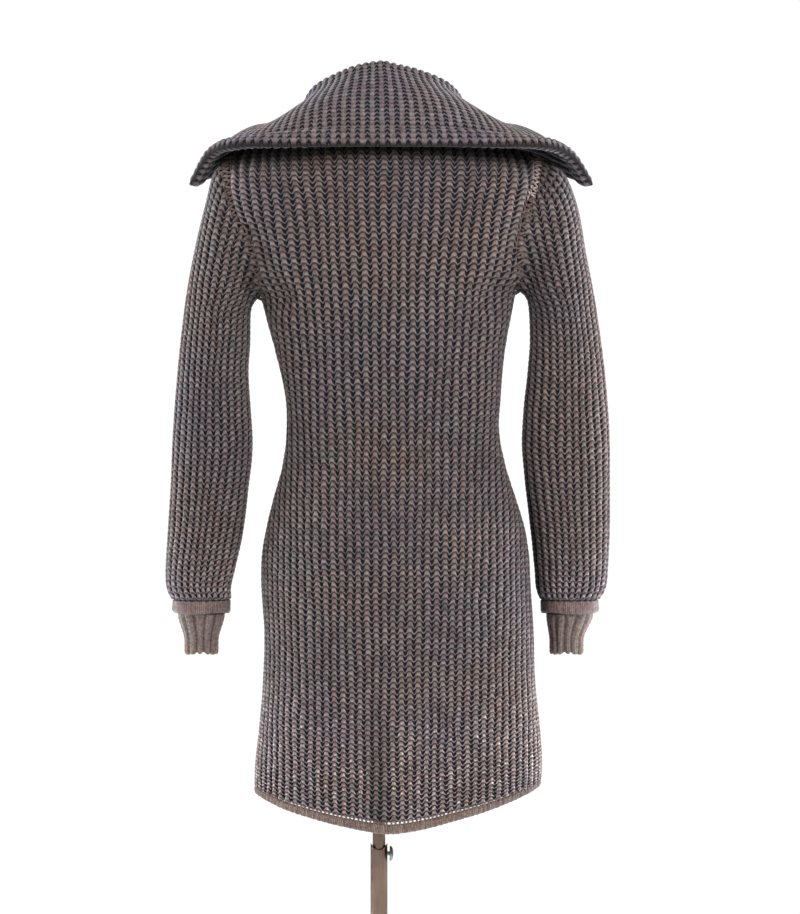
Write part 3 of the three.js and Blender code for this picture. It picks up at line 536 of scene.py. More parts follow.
def body_panel(name, side, edges, columns):
    """edges gives the first and last u of a row at height v."""
    low, high = np.interp([V_PANEL_LOW, TOP_V - SEAM / 2], heights, row_count)
    rows = np.linspace(low, high, whole_steps((high - low) * PER_STITCH) + 1)
    v = np.interp(rows, row_count, heights)
    t = np.linspace(0, 1, whole_steps(columns * (PER_STITCH + 0.6)) + 1)
    first, last = edges(v)
    u = first[:, None] + (last - first)[:, None] * t[None]
    p = body_surface(side, u, v, BODY_FOLDS + SMALL_FOLDS)
    arc = arc_lengths(side, u, v)
    blocked = UPRIGHT + YOKE_UPRIGHT * smooth((v + HEM_Z - YOKE_Z) / 60)[:, None]
    width = np.interp(v + HEM_Z, GAUGE_Z, STITCH_WIDTH)[:, None]
    c = (arc + (p[..., 0] - arc) * blocked) / width
    level = smooth((v + HEM_Z - LEVEL_Z) / 60)[:, None]
    r = np.interp(v[:, None] + (p[..., 2] - HEM_Z - v[:, None]) * level, heights, row_count)
    across, along = unevenness(c + 31 * side, r)
    c, r = c + across, r + along
    normal = grid_normals(p)
    normal = normal * np.sign((normal * -inwards(p)).sum(-1, keepdims=True))
    from_side = np.minimum(np.abs(arc - arc[:, :1]), np.abs(arc - arc[:, -1:]))
    edge = smooth(np.minimum(from_side, (TOP_V - v)[:, None]) / SEAM_SINKS)
    relief = stitch_relief(c, r) * edge - SEAM_DEPTH * (1 - edge)
    at_side_seam = (np.abs(u) > 0.9999) & (v <= UNDERARM_V)[:, None]
    p[..., 1] += np.where(at_side_seam, side * SEAM / 2, 0)
    outer = p + normal * relief[..., None]
    if side < 0:
        outer[..., 0] += np.where(np.abs(u) < 1e-9, np.sign(last[0]) * SEAM / 2, 0)
    coarse = zip(u[::INNER_STEP, ::INNER_STEP], v[::INNER_STEP])
    inset = np.stack([wall_inset(side, row, height, WALL) for row, height in coarse])
    inner = p[::INNER_STEP, ::INNER_STEP] + inset
    return wall_object(name, outer, inner, np.stack([c, r], -1), INNER_STEP)


knit_back = body_panel("knit_back", 1, lambda v: (0 * v - 1, 0 * v + 1), 38)
knit_front_left = body_panel(
    "knit_front_left", -1, lambda v: (front_edge_u(v), 0 * v + 1), 19
)
knit_front_right = body_panel(
    "knit_front_right", -1, lambda v: (-front_edge_u(v), 0 * v - 1), 19
)

# %% [markdown]
# ## Yarn
#
# The coat is knitted from wool in three shades: taupe, pale grey and navy. Woollen-spun
# yarn scatters light softly and has a halo of loose fibres, which is what the sheen is for.
# The chart is drawn from the stitch count: one ramp of colours runs up a ridge, another
# runs up a furrow, and the outline of the bell decides between them.

# %% Material helpers
def linear(code):
    """An sRGB hex value as the linear colour that the shader works in."""
    parts = [int(code[i : i + 2], 16) / 255 for i in (0, 2, 4)]
    return tuple(x / 12.92 if x <= 0.04045 else ((x + 0.055) / 1.055) ** 2.4 for x in parts)


def node(tree, kind, inputs=None, stops=None, **settings):
    """Adds a node with its settings. An input is a value, a socket, or a node's first output."""
    made = tree.nodes.new(kind)
    for key, value in settings.items():
        setattr(made, key, value)
    for key, value in (inputs or {}).items():
        if isinstance(value, bpy.types.Node):
            value = value.outputs[0]
        if isinstance(value, bpy.types.NodeSocket):
            tree.links.new(value, made.inputs[key])
        else:
            made.inputs[key].default_value = value
    if stops:
        elements = made.color_ramp.elements
        while len(elements) < len(stops):
            elements.new(0.5)
        for element, (place, code) in zip(elements, stops):
            element.position = place
            element.color = (*linear(code), 1)
    return made


def new_material(name, roughness, metallic=0.0, sheen=0.0):
    material = bpy.data.materials.new(name)
    material.use_nodes = True
    shader = material.node_tree.nodes["Principled BSDF"]
    shader.inputs["Roughness"].default_value = roughness
    shader.inputs["Metallic"].default_value = metallic
    shader.inputs["IOR"].default_value = 1.5
    shader.inputs["Sheen Weight"].default_value = sheen
    shader.inputs["Sheen Roughness"].default_value = 0.35
    shader.inputs["Sheen Tint"].default_value = (1.0, 0.93, 0.94, 1)
    return material, material.node_tree, shader


def dress(piece, material, body="form", replaced=None):
    """Gives a piece its material and slot, the body that carries it and the solid it shows."""
    piece.data.materials.clear()
    piece.data.materials.append(material)
    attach(piece, body)
    if replaced:
        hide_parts(replaced)


def link_bump(tree, shader, height, strength, distance):
    bump = node(tree, BUMP, {"Height": height, "Strength": strength, "Distance": distance})
    tree.links.new(bump.outputs[0], shader.inputs["Normal"])


# %% [markdown]
# ## Wool
#
# Every piece of knit ends in the same yarn. Each loop takes the dye a little differently, the
# plies and fibres break up its colour, and the furrows get painted shade: the colour is darkened
# by occlusion measured from the shape itself, 50 mm round about, so it holds from every side. The
# same painted shade darkens the gap under the collar and the folds by the arms.

# %% Wool
MATH, MIX, RAMP = "ShaderNodeMath", "ShaderNodeMix", "ShaderNodeValToRGB"
RANGE, BUMP, UV_MAP = "ShaderNodeMapRange", "ShaderNodeBump", "ShaderNodeUVMap"
NOISE, PLACE, VECTOR = "ShaderNodeTexNoise", "ShaderNodeTexCoord", "ShaderNodeVectorMath"
SPLIT, JOIN = "ShaderNodeSeparateXYZ", "ShaderNodeCombineXYZ"


def finish_wool(tree, shader, chart, height, cell):
    """Dyes each loop a little differently, adds fibres and painted shade, links it to the shader.
    """
    loop = node(tree, "ShaderNodeTexWhiteNoise", {0: cell}, noise_dimensions="3D")
    spot = node(tree, PLACE).outputs["Object"]
    patch = node(tree, NOISE, {0: spot, "Scale": 9.0, "Detail": 2.0})
    ply = node(tree, NOISE, {0: spot, "Scale": 300.0, "Detail": 2.0, "Roughness": 0.6})
    fibre = node(tree, NOISE, {0: spot, "Scale": 620.0, "Detail": 2.0, "Roughness": 0.7})
    a = node(tree, MATH, {0: loop, 1: 0.34, 2: -0.58}, operation="MULTIPLY_ADD")
    b = node(tree, MATH, {0: ply, 1: 1.7, 2: a}, operation="MULTIPLY_ADD")
    shade = node(tree, MATH, {0: fibre, 1: 0.9, 2: b}, operation="MULTIPLY_ADD")
    # Painted shade: occlusion within 50 mm darkens the colour in furrows, under the collar and in
    # folds.
    deep = node(tree, "ShaderNodeAmbientOcclusion", {"Distance": 0.05}, samples=6).outputs["AO"]
    deep = node(tree, RANGE, {0: deep, 1: 0.07, 2: 0.7, 3: 0.1, 4: 1.07})
    shade = node(tree, MATH, {0: shade, 1: deep}, operation="MULTIPLY")
    patches = [(0.36, "ECE8F4"), (0.5, "F6F2F4"), (0.64, "FAF0EA")]
    loops = [(0.2, "FFF4F2"), (0.5, "FFFFFF"), (0.8, "F3F8F4")]
    for place, stops in ((patch, patches), (loop.outputs[1], loops)):
        wash = node(tree, RAMP, {0: place}, stops)
        both = {0: 1.0, 6: chart, 7: wash}
        chart = node(tree, MIX, both, data_type="RGBA", blend_type="MULTIPLY").outputs[2]
    colour = node(tree, VECTOR, {0: chart, 3: shade}, operation="SCALE")
    tree.links.new(colour.outputs[0], shader.inputs["Base Color"])
    rough = node(tree, MATH, {0: ply, 1: 0.6, 2: height}, operation="MULTIPLY_ADD")
    link_bump(tree, shader, rough, 0.6, 0.0012)


def place_in_stitch(tree, sway_from, sway):
    """Row count, distance from the column's crown, swayed row, its phase, and the loop."""
    count = node(tree, UV_MAP, uv_map="stitches")
    column, row = node(tree, SPLIT, {0: count}).outputs[:2]
    in_column = node(tree, MATH, {0: column}, operation="FRACT")
    centred = node(tree, MATH, {0: in_column, 1: 0.5}, operation="SUBTRACT")
    a = node(tree, MATH, {0: centred}, operation="ABSOLUTE")
    sag = node(tree, RANGE, {0: a, 1: sway_from, 2: 0.5, 3: 0.0, 4: sway})
    swayed = node(tree, MATH, {0: row, 1: sag}, operation="ADD")
    phase = node(tree, MATH, {0: swayed}, operation="FRACT")
    whole = [node(tree, MATH, {0: x}, operation="FLOOR") for x in (column, swayed)]
    return row, a, phase, node(tree, JOIN, {0: whole[0], 1: whole[1]})


# %% [markdown]
# ## Half-cardigan wool
#
# This chart dyes the body and the sleeves: taupe bells in columns, a pale strand and a navy line
# in every furrow. It gives the eye the zigzags that run across the coat. Low down the knit hangs
# open, and light from behind shines through it on the strands, except where the pole stands behind
# it. A wall without holes can't show that, so the low rows carry painted light: they are painted
# brighter, with small pale specks, and a painted shadow of the pole runs down the middle.

# %% Half-cardigan wool
BELL = (0.37, 0.21)  # half its width at the foot and at the top, in columns
BELL_SLOPE = 0.05
# Up a ridge the taupe is lightest mid-bell and darker at both ends: navy shows beneath, with
# painted shade between bells.
RIDGE = [(0.0, "3A302E"), (0.08, "574B48"), (0.2, "918480"), (0.45, "978A86")]
RIDGE += [(0.7, "7B6F6B"), (0.88, "4E4340"), (1.0, "3A302E")]
FURROW = [(0.0, "0D080D"), (0.07, "1E181E"), (0.16, "7F7A81"), (0.24, "949096")]
FURROW += [(0.33, "6F696E"), (0.44, "332C31"), (0.55, "0F0A10"), (0.85, "080509")]


def light_through(tree, row):
    """Painted light: how much brighter the low rows are, with the pole's painted shadow. 1 where
    the knit is closed.
    """
    spot = node(tree, PLACE).outputs["Object"]
    speck = node(tree, NOISE, {0: spot, "Scale": 330.0, "Detail": 1.0})
    spark = node(tree, RANGE, {0: speck, 1: 0.56, 2: 0.7}, interpolation_type="SMOOTHSTEP")
    beside = node(tree, MATH, {0: node(tree, SPLIT, {0: spot})}, operation="ABSOLUTE")
    clear = node(tree, RANGE, {0: beside, 1: 0.006, 2: 0.022}, interpolation_type="SMOOTHSTEP")
    # Painted light through the open knit, as a wash and specks; near the pole it turns to painted
    # shadow.
    glow = node(tree, MATH, {0: spark, 1: 2.0, 2: 0.44}, operation="MULTIPLY_ADD")
    glow = node(tree, MATH, {0: glow, 1: clear, 2: -0.12}, operation="MULTIPLY_ADD")
    lit = {0: row, 1: 1.5 * OPEN_ROWS, 2: 0.4 * OPEN_ROWS}
    lit = node(tree, RANGE, lit, interpolation_type="SMOOTHSTEP")
    return node(tree, MATH, {0: glow, 1: lit, 2: 1.0}, operation="MULTIPLY_ADD")


wool_half_cardigan, tree, shader = new_material("wool_half_cardigan", 0.92, sheen=0.45)
row, a, phase, loop = place_in_stitch(tree, SWAY_FROM, SWAY)
low = node(tree, RANGE, {0: row, 1: OPEN_ROWS, 2: 0.0}, interpolation_type="SMOOTHSTEP")
half = node(tree, RANGE, {0: phase, 1: 0.05, 2: 0.95, 3: BELL[0], 4: BELL[1]})
half = node(tree, MATH, {0: low, 1: -OPEN_LOW, 2: half}, operation="MULTIPLY_ADD")
inside = node(tree, MATH, {0: half, 1: a}, operation="SUBTRACT")
bell = {0: inside, 1: -BELL_SLOPE, 2: BELL_SLOPE}
bell = node(tree, RANGE, bell, interpolation_type="SMOOTHSTEP")
ridge, furrow = (node(tree, RAMP, {0: phase}, stops) for stops in (RIDGE, FURROW))
chart = node(tree, MIX, {0: bell, 6: furrow, 7: ridge}, data_type="RGBA").outputs[2]
grey = node(tree, "ShaderNodeRGBToBW", {0: chart})
lift = node(tree, MATH, {0: grey, 1: 1.8}, operation="MULTIPLY")
height = node(tree, MATH, {0: bell, 1: 0.35, 2: lift}, operation="MULTIPLY_ADD")
lit_chart = node(tree, VECTOR, {0: chart, 3: light_through(tree, row)}, operation="SCALE")
finish_wool(tree, shader, lit_chart, height, loop)
dress(knit_back, wool_half_cardigan, replaced="back")
dress(knit_front_left, wool_half_cardigan, replaced="front_left")
dress(knit_front_right, wool_half_cardigan, replaced="front_right")

# %% [markdown]
# ## Sleeves
#
# A sleeve is a closed tube. It starts on the armhole, a ring that runs down the back
# panel's edge and up the front's, and then follows sections of the arm that lean forwards.
# Its ridges run along the arm and its rows lie level, so the stitch count is an angle and
# a height.

# %% Sleeves
SLEEVE_COLUMNS = "xOut zOut xIn zIn back front lean".split()
SLEEVE_ROWS = {
    1: [
        [220, 1392, 171, 1226, 62, 62, 0],
        [232, 1348, 177, 1212, 64, 62, 0],
        [247, 1285, 178, 1172, 61, 60, 1],
        [259, 1216, 180, 1132, 58, 58, 2],
        [268, 1136, 177, 1086, 55, 56, 4],
        [274, 1062, 175, 1040, 52, 54, 7],
        [277, 996, 180, 992, 51, 52, 10],
        [281, 934, 187, 934, 49, 50, 13],
        [284, 888, 197, 888, 47, 47, 15],
        [283, 862, 203, 862, 43, 43, 16],
        [276.5, 846.4, 202.5, 846.4, 38, 38, 16],
    ],
    -1: [
        [217, 1392, 171, 1235, 62, 62, 0],
        [237, 1348, 178, 1220, 64, 62, 0],
        [249, 1285, 180, 1176, 61, 60, 1],
        [262, 1216, 177, 1136, 58, 58, 2],
        [273, 1136, 172, 1090, 56, 56, 4],
        [279, 1062, 170, 1044, 54, 54, 7],
        [280, 996, 174, 994, 52, 52, 10],
        [280, 934, 181, 934, 49, 50, 13],
        [278, 888, 186, 888, 47, 47, 15],
        [275.5, 862, 188, 862, 43, 43, 16],
        [267, 846.4, 193, 846.4, 38, 38, 16],
    ],
}
ARM_HOLLOW = (2.25, 0.55, 15, 3.4)  # place round the arm, spread, depth, last section
SLEEVE_STITCHES = 26
SLEEVE_ROW = 7.4  # millimetres
ROWS_FROM_Z = 700
CAP_WIDTH, CAP_Z = 92, 1200

# %% [markdown]
# ## Armhole and stitch columns
#
# The sleeve's first ring lies on the edges of the panels, a seam's width away. Its columns
# are the angle round the arm's own axis, which over the cap runs on into the body, so that
# the ridges fan out over the shoulder as they do where a cap is eased in.

# %% Armhole and stitch columns
def armhole(sign, angle):
    """The body's edge at an angle round the arm: outer point and the wall's inset."""
    down = angle <= math.pi
    share = np.where(down, angle / math.pi, 2 - angle / math.pi)
    at_height = TOP_V - SEAM / 2 + (UNDERARM_V - TOP_V) * share
    return cut_edge([(1 if back else -1, sign, v) for back, v in zip(down, at_height)])


def cut_edge(places):
    """The outer point and the wall's inset at each place (side, u, v) of a panel's edge."""
    places = [(side, np.array([float(u)]), v) for side, u, v in places]
    outer = [body_surface(side, u, v)[0] for side, u, v in places]
    inset = [wall_inset(side, u, v, WALL)[0] for side, u, v in places]
    return np.array(outer), np.array(inset)


def across_seam(ring, inset, along=None):
    """The way from a cut edge into the opening. With no way along, the edge is a ring."""
    if along is None:
        along = np.roll(ring, -1, 0) - np.roll(ring, 1, 0)
    normal = unit(np.cross(along, inset))
    return normal * np.sign((normal * (ring.mean(0) - ring)).sum(-1, keepdims=True))


def wales(p, rows, sign, around):
    """The stitch column of each point: how far round the arm's own axis it lies."""
    table = {key: np.array([s[key] for s in rows], float)[::-1] for key in SLEEVE_COLUMNS}
    x, y, z = np.moveaxis(p, -1, 0)
    high, low = table["zOut"], table["zIn"]
    x_out, x_in = np.interp(z, high, table["xOut"]), np.interp(z, low, table["xIn"])
    in_cap = smooth((z - CAP_Z) / 60)  # over the cap the arm's axis runs on into the body
    x_in = x_in + (x_out - CAP_WIDTH - x_in) * in_cap
    middle = (high + low) / 2
    back, front = (np.interp(z, middle, table[key]) for key in ("back", "front"))
    depth = np.where(y > 0, back, front)
    lean = np.interp(z, middle, table["lean"])
    place = np.arctan2((y + lean) / depth, (sign * x - (x_out + x_in) / 2) / ((x_out - x_in) / 2))
    place = around + (place - around + math.pi) % (2 * math.pi) - math.pi
    place = place - 0.15 * (1 - in_cap) * np.sin(2 * place)  # looser at the folded edges
    return place / (2 * math.pi) * SLEEVE_STITCHES


# %% [markdown]
# ## The tube of the sleeve
#
# The sections are joined by a spline, as many rows along it as the arm has stitches. The
# hollow behind the upper arm is pushed in, and then each stitch is raised. The inner side
# turns from the seam's wall to the arm's axis.

# %% Sleeve tubes
def sleeve(name, sign):
    """sign is 1 for the left arm and -1 for the right."""
    n = whole_steps(SLEEVE_STITCHES * (PER_STITCH + 2))
    angle = 2 * math.pi * np.arange(n) / n
    ring, ring_inset = armhole(sign, angle)
    start = ring + across_seam(ring, ring_inset) * SEAM
    rows = [dict(zip(SLEEVE_COLUMNS, row)) for row in SLEEVE_ROWS[sign]]
    centre, spread, deep, last = ARM_HOLLOW
    points, hollows = [start], [0 * start]
    for k, s in enumerate(rows):
        depth = np.where(np.sin(angle) > 0, s["back"], s["front"])
        x = (s["xOut"] + s["xIn"]) / 2 + (s["xOut"] - s["xIn"]) / 2 * np.cos(angle)
        z = (s["zOut"] + s["zIn"]) / 2 + (s["zOut"] - s["zIn"]) / 2 * np.cos(angle)
        points.append(np.stack([sign * x, np.sin(angle) * depth - s["lean"], z], -1))
        hollow = deep * np.exp(-(((angle - centre) / spread) ** 2)) * smooth(1 - k / last)
        hollows.append(np.stack([0 * hollow, -hollow, 0 * hollow], -1))
    knots = np.arange(len(points))
    tries = np.linspace(0, len(rows), 150)
    path = np.array([spline(knots, points, t) for t in tries])
    run = running(np.linalg.norm(np.diff(path, axis=0), axis=-1).max(axis=1))
    m = whole_steps(run[-1] / SLEEVE_ROW * PER_STITCH)
    t = np.interp(np.linspace(0, run[-1], m + 1), run, tries)
    p = np.array([spline(knots, points, x) for x in t])
    p = np.concatenate([p, p[:, :1]], axis=1)
    around = np.concatenate([angle, [2 * math.pi]])
    c = wales(p, rows, sign, around)
    dent = np.array([spline(knots, hollows, x) for x in t])
    p = p + np.concatenate([dent, dent[:, :1]], axis=1)
    z = p[..., 2]
    r = (z - ROWS_FROM_Z - 9 * smooth((1000 - z) / 150)) / SLEEVE_ROW  # longer at the wrist
    across, along = unevenness(c % SLEEVE_STITCHES + 60 * sign, r)
    inside = smooth(np.minimum(around, 2 * math.pi - around) / 0.5)
    c, r = c + across * inside, r + along * inside
    middle = p[:, :-1].mean(axis=1, keepdims=True)
    normal = grid_normals(p, closed=True)
    normal = normal * np.sign((normal * (p - middle)).sum(-1, keepdims=True))
    from_seam = np.linalg.norm(p - p[:1], axis=-1)
    edge = smooth(from_seam / SEAM_SINKS) * smooth((p[..., 2] - p[-1, :, 2].min()) / 3 + 0.4)
    relief = stitch_relief(c, r) * edge - SEAM_DEPTH * (1 - edge)
    outer = p + normal * relief[..., None]
    q = p[::INNER_STEP, ::INNER_STEP]
    own = middle[::INNER_STEP] - q
    own[..., 2] *= 0.4
    blend_seam = smooth(1 - t[::INNER_STEP])[:, None, None]
    seam_inset = np.concatenate([ring_inset, ring_inset[:1]])[::INNER_STEP]
    inner = q + unit(own) * WALL * (1 - blend_seam) + seam_inset * blend_seam
    return wall_object(name, outer, inner, np.stack([c, r], -1), INNER_STEP, closed=True)


knit_sleeve_left = sleeve("knit_sleeve_left", 1)
knit_sleeve_right = sleeve("knit_sleeve_right", -1)
dress(knit_sleeve_left, wool_half_cardigan, replaced="sleeve_left")
dress(knit_sleeve_right, wool_half_cardigan, replaced="sleeve_right")

# %% [markdown]
# ## Cuffs
#
# Each sleeve ends in a plain band and, set in from it, a narrow ribbed cuff that hugs the
# wrist. Both are tubes round the sleeve's last section.

# %% Cuffs
CUFF_DEPTH = 38
CUFF_LEAN = 16
BAND_TOP, BAND_BOTTOM = 846, 829
RIB_TOP, RIB_BOTTOM = 828.7, 778
CUFF_RIBS, CUFF_ROWS = 13, 9
BAND_CORDS, BAND_ROWS = 96, 3


def cuff_ring(sign, around, grow, z, shift=0):
    """A ring round the wrist, grow millimetres outside the sleeve's last section."""
    wrist = dict(zip(SLEEVE_COLUMNS, SLEEVE_ROWS[sign][-1]))
    half = (wrist["xOut"] - wrist["xIn"]) / 2
    middle = (wrist["xOut"] + wrist["xIn"]) / 2 - shift
    x = sign * (middle + (half + grow) * np.cos(around))
    y = (CUFF_DEPTH + grow) * np.sin(around) - CUFF_LEAN
    return np.stack([x, y, z + 0 * x], -1)


def cuff_band(name, sign):
    n, m = BAND_CORDS * 4, 16
    around = np.linspace(0, 2 * math.pi, n + 1)[None]
    t = np.linspace(0, 1, m + 1)[:, None]
    c = around / (2 * math.pi) * BAND_CORDS + 0 * t
    round_off = 1.4 * (1 - np.sqrt(np.clip(1 - np.abs(2 * t - 1) ** 6, 0, 1)))
    cords = 0.22 * np.cos(2 * math.pi * c)
    waves = 0.3 * np.sin(5 * around + 4 * t) + 0.2 * np.sin(14 * around - 3 * t)
    tuck = 0.9 * np.exp(-(((t - 0.08) / 0.06) ** 2))
    grow = (cords + waves) * smooth(t * 6) * smooth((1 - t) * 8) - round_off - tuck
    z = BAND_BOTTOM + (BAND_TOP - BAND_BOTTOM) * t
    z = z + smooth(t) * 0.6 * (np.cos(SLEEVE_STITCHES * around) - 1)
    z = z + 0.9 * (1 - smooth(t)) * np.sin(3 * around + 1)
    outer = cuff_ring(sign, around, grow, z)
    inner = cuff_ring(sign, around, -9 + 0 * grow, z)[::INNER_STEP, ::INNER_STEP]
    count = np.stack([c, t * BAND_ROWS + 0 * c], -1)
    return wall_object(name, outer, inner, count, INNER_STEP, closed=True)


def cuff_rib(name, sign, shift):
    n, m = CUFF_RIBS * 16, 48
    around = np.linspace(0, 2 * math.pi, n + 1)[None]
    t = np.linspace(0, 1, m + 1)[:, None]
    c = around / (2 * math.pi) * CUFF_RIBS + 0 * t
    c = c + 0.1 * np.sin(2 * around + 1) + 0.05 * np.sin(3 * t + 7 * around)
    lift = 2.2 * smooth(t * 8)
    on_rib = np.cos(2 * math.pi * (c - 0.125))
    ridge = smooth(0.55 + 1.0 * on_rib)
    purl = 0.3 * np.cos(2 * math.pi * t * CUFF_ROWS + 1.4 * np.cos(4 * math.pi * c))
    purl = purl + 0.22 * np.cos(8 * math.pi * c)
    narrow = 7 + 8.5 * smooth(t * 1.4) + lift
    end = 1.2 * (1 - np.sqrt(np.clip(1 - np.clip((t - 0.94) / 0.06, 0, 1) ** 2, 0, 1)))
    z = RIB_TOP + (RIB_BOTTOM - RIB_TOP) * t
    z = z - smooth((t - 0.7) / 0.3) * (1.4 * on_rib + 0.8 * np.sin(3 * around))
    aside = shift * smooth(t * 1.5)
    grow = lift * ridge + purl * smooth(t * 8) - narrow - end
    outer = cuff_ring(sign, around, grow, z, aside)
    inner = cuff_ring(sign, around, -narrow - 3.5 + 0 * c, z, aside)[::INNER_STEP, ::INNER_STEP]
    count = np.stack([c, t * CUFF_ROWS + 0 * c], -1)
    return wall_object(name, outer, inner, count, INNER_STEP, closed=True)


band_cuff_left = cuff_band("band_cuff_left", 1)
band_cuff_right = cuff_band("band_cuff_right", -1)
rib_cuff_left = cuff_rib("rib_cuff_left", 1, 0)
rib_cuff_right = cuff_rib("rib_cuff_right", -1, 4)

# %% [markdown]
# ## Collar
#
# The collar is one long doubled strip. It stands up from the neckline, folds over at the
# top and falls to a thick rolled edge. Each rib runs from the seam to that edge, so a
# profile of six places is drawn at every station from one front end, round the back of the
# neck, to the other, and ribs are counted along the strip.

# %% Collar
COLLAR_STATIONS = np.array([0.0, 0.2, 0.4, 0.6, 0.8, 1.0])
# x, y, z at each station, for half the strip
COLLAR_FOLD = [[0, 62, 1519], [46, 50, 1512], [87, 8, 1497]]
COLLAR_FOLD += [[101, -42, 1470], [92, -92, 1424], [76, -132, 1364]]
COLLAR_CROWN = [[0, 93, 1468], [62, 86, 1465], [114, 60, 1456]]
COLLAR_CROWN += [[146, 18, 1447], [163, -30, 1445], [164, -86, 1408]]
COLLAR_EDGE = [[0, 112, 1410], [67, 109, 1410], [133, 98, 1411]]
COLLAR_EDGE += [[190, 73, 1414], [227, 36, 1407], [254, -8, 1374]]
COLLAR_KNOTS = np.array([0, 0.26, 0.36, 0.46, 0.74, 1.0])
COLLAR_WALL, COLLAR_EDGE_WALL = 5.5, 13
COLLAR_RIBS = 54
NECK_POINT_AT = 0.37  # the station where the strip leaves the back for a front
FOLD_RADIUS = 7
ROLL_HEIGHT = 22  # the doubled edge is a soft roll
ROLL_TURN = 9
CHEVRON, ROLL_CHEVRON = 5.6, 7.4  # millimetres from one to the next, above and on the roll
CHEVRON_SWAY = 0.6  # how far its legs reach down, in chevrons
STAND_DROP = 13  # how far the strip's two sides stay upright under the fold

# %% [markdown]
# ## The lines of the collar
#
# The seam lies on the panels' neck edge: round the back first, then down the V of each
# front. The other lines come from the tables, mirrored for the other half.

# %% The lines of the collar
def neck_edge(s):
    """The panels' edge at each place s of the strip: outer point and inset."""
    places = []
    for place in s:
        at, sign = abs(place), (-1 if place < 0 else 1)
        if at < NECK_POINT_AT:
            side, v, u = 1, TOP_V - SEAM / 2, NECK_U * place / NECK_POINT_AT
        else:
            along = (at - NECK_POINT_AT) / (1 - NECK_POINT_AT)
            side, v = -1, TOP_V - SEAM / 2 + (COLLAR_END_V - TOP_V) * along
            u = sign * float(front_edge_u(v))
        places.append((side, u, v))
    return cut_edge(places)


def collar_table(rows, s):
    """Points of a table at each place s, mirrored where s is negative."""
    sign = np.where(s < 0, -1, 1)[:, None]
    p = np.array([spline(COLLAR_STATIONS, np.array(rows, float), abs(x)) for x in s])
    return p * np.concatenate([sign, 1 + 0 * sign, 1 + 0 * sign], axis=1)


def collar_guides(s):
    """Six lines along the strip, from the seam over the fold to the rolled edge."""
    ring, inset = neck_edge(s)
    into = across_seam(ring, inset, np.gradient(ring, axis=0))
    seam_outer = ring + into * (SEAM + 0.2)
    seam_inner = seam_outer + inset * 0.85
    fold = collar_table(COLLAR_FOLD, s) + [NECK_X, 0, 0]
    crown = collar_table(COLLAR_CROWN, s) + [NECK_X * 0.5, 0, 0]
    edge = collar_table(COLLAR_EDGE, s)
    edge[:, 0] -= 5 * smooth((-s - 0.7) / 0.3)
    fold[:, 2] += 4 * np.exp(-(((fold[:, 0] - 22) / 34) ** 2)) - 3.2
    out = edge - fold
    out[:, 2] = 0
    out = unit(out)
    drop = np.minimum(STAND_DROP, (fold[:, 2] - seam_outer[:, 2]) * 0.45)
    down = np.stack([0 * drop, 0 * drop, -drop], -1)
    before, after = fold - out * FOLD_RADIUS + down, fold + out * FOLD_RADIUS + 0.8 * down
    lines = [(seam_outer + seam_inner) / 2, before, fold, after, crown, edge]
    return lines, seam_outer, seam_inner


# %% [markdown]
# ## The strip of the collar
#
# The strip is drawn through those lines. Its wall thickens to the roll, with a crease just
# above it, and ends in a round edge. Ribs stand up from it, and the chevrons in between
# are long on the roll and short above.

# %% The strip of the collar
def collar_piece(name):
    per_rib = 6
    n = COLLAR_RIBS * per_rib
    s = np.linspace(-1, 1, n + 1)
    points, seam_outer, seam_inner = collar_guides(s)
    rows = 124
    t = np.linspace(0, 1, rows + 1)
    t = t + 0.012 * np.sin(2 * math.pi * t)
    p = np.array([spline(COLLAR_KNOTS, points, x) for x in t])
    before = np.clip(np.arange(n + 1) - per_rib, 0, n)
    after = np.clip(np.arange(n + 1) + per_rib, 0, n)
    normal = unit(np.cross(p[:, after] - p[:, before], np.gradient(p, axis=0)))
    length = run_along(p)
    to_edge = length[-1] - length
    roll = smooth((ROLL_HEIGHT + 3 - to_edge) / 8)
    wall = COLLAR_WALL + (COLLAR_EDGE_WALL - COLLAR_WALL) * roll
    turn = np.clip(1 - to_edge / ROLL_TURN, 0, 1)
    round_off = np.sqrt(np.clip(1 - turn**2, 0.02, 1))
    crease = 1.6 * np.exp(-(((to_edge - ROLL_HEIGHT - 4) / 4) ** 2))
    c = np.tile((s + 1) / 2 * COLLAR_RIBS, (rows + 1, 1))
    r = chevron_rows(to_edge)
    c = c + 0.07 * np.sin(0.23 * r + 1.7 * np.sin(0.4 * c)) + 0.03 * np.sin(1.1 * r + 2.2 * c)
    fade = smooth(t / 0.04)[:, None]
    relief = (collar_relief(c, r, to_edge) * smooth(to_edge / 2.5) - crease) * fade
    under = (0.8 * collar_relief(c, r, to_edge) - 0.6) * fade * smooth(to_edge / 2.5)
    outer = p + normal * (wall / 2 * round_off + 0.8 * roll * round_off + relief)[..., None]
    inner = p - normal * (wall / 2 * round_off + under)[..., None]
    outer[0], inner[0] = seam_outer, seam_inner
    round_edge = run_along(points[-1])[-1]
    print(f"collar strip: {round_edge:.0f} mm round the edge, {length[-1].mean():.0f} mm deep")
    return wall_object(name, outer, inner, np.stack([c, r], -1), 1)


def chevron_rows(to_edge):
    """Chevrons from the free edge: long ones on the roll, shorter ones above it."""
    above = ROLL_HEIGHT / ROLL_CHEVRON + (to_edge - ROLL_HEIGHT) / CHEVRON
    return np.where(to_edge < ROLL_HEIGHT, to_edge / ROLL_CHEVRON, above)


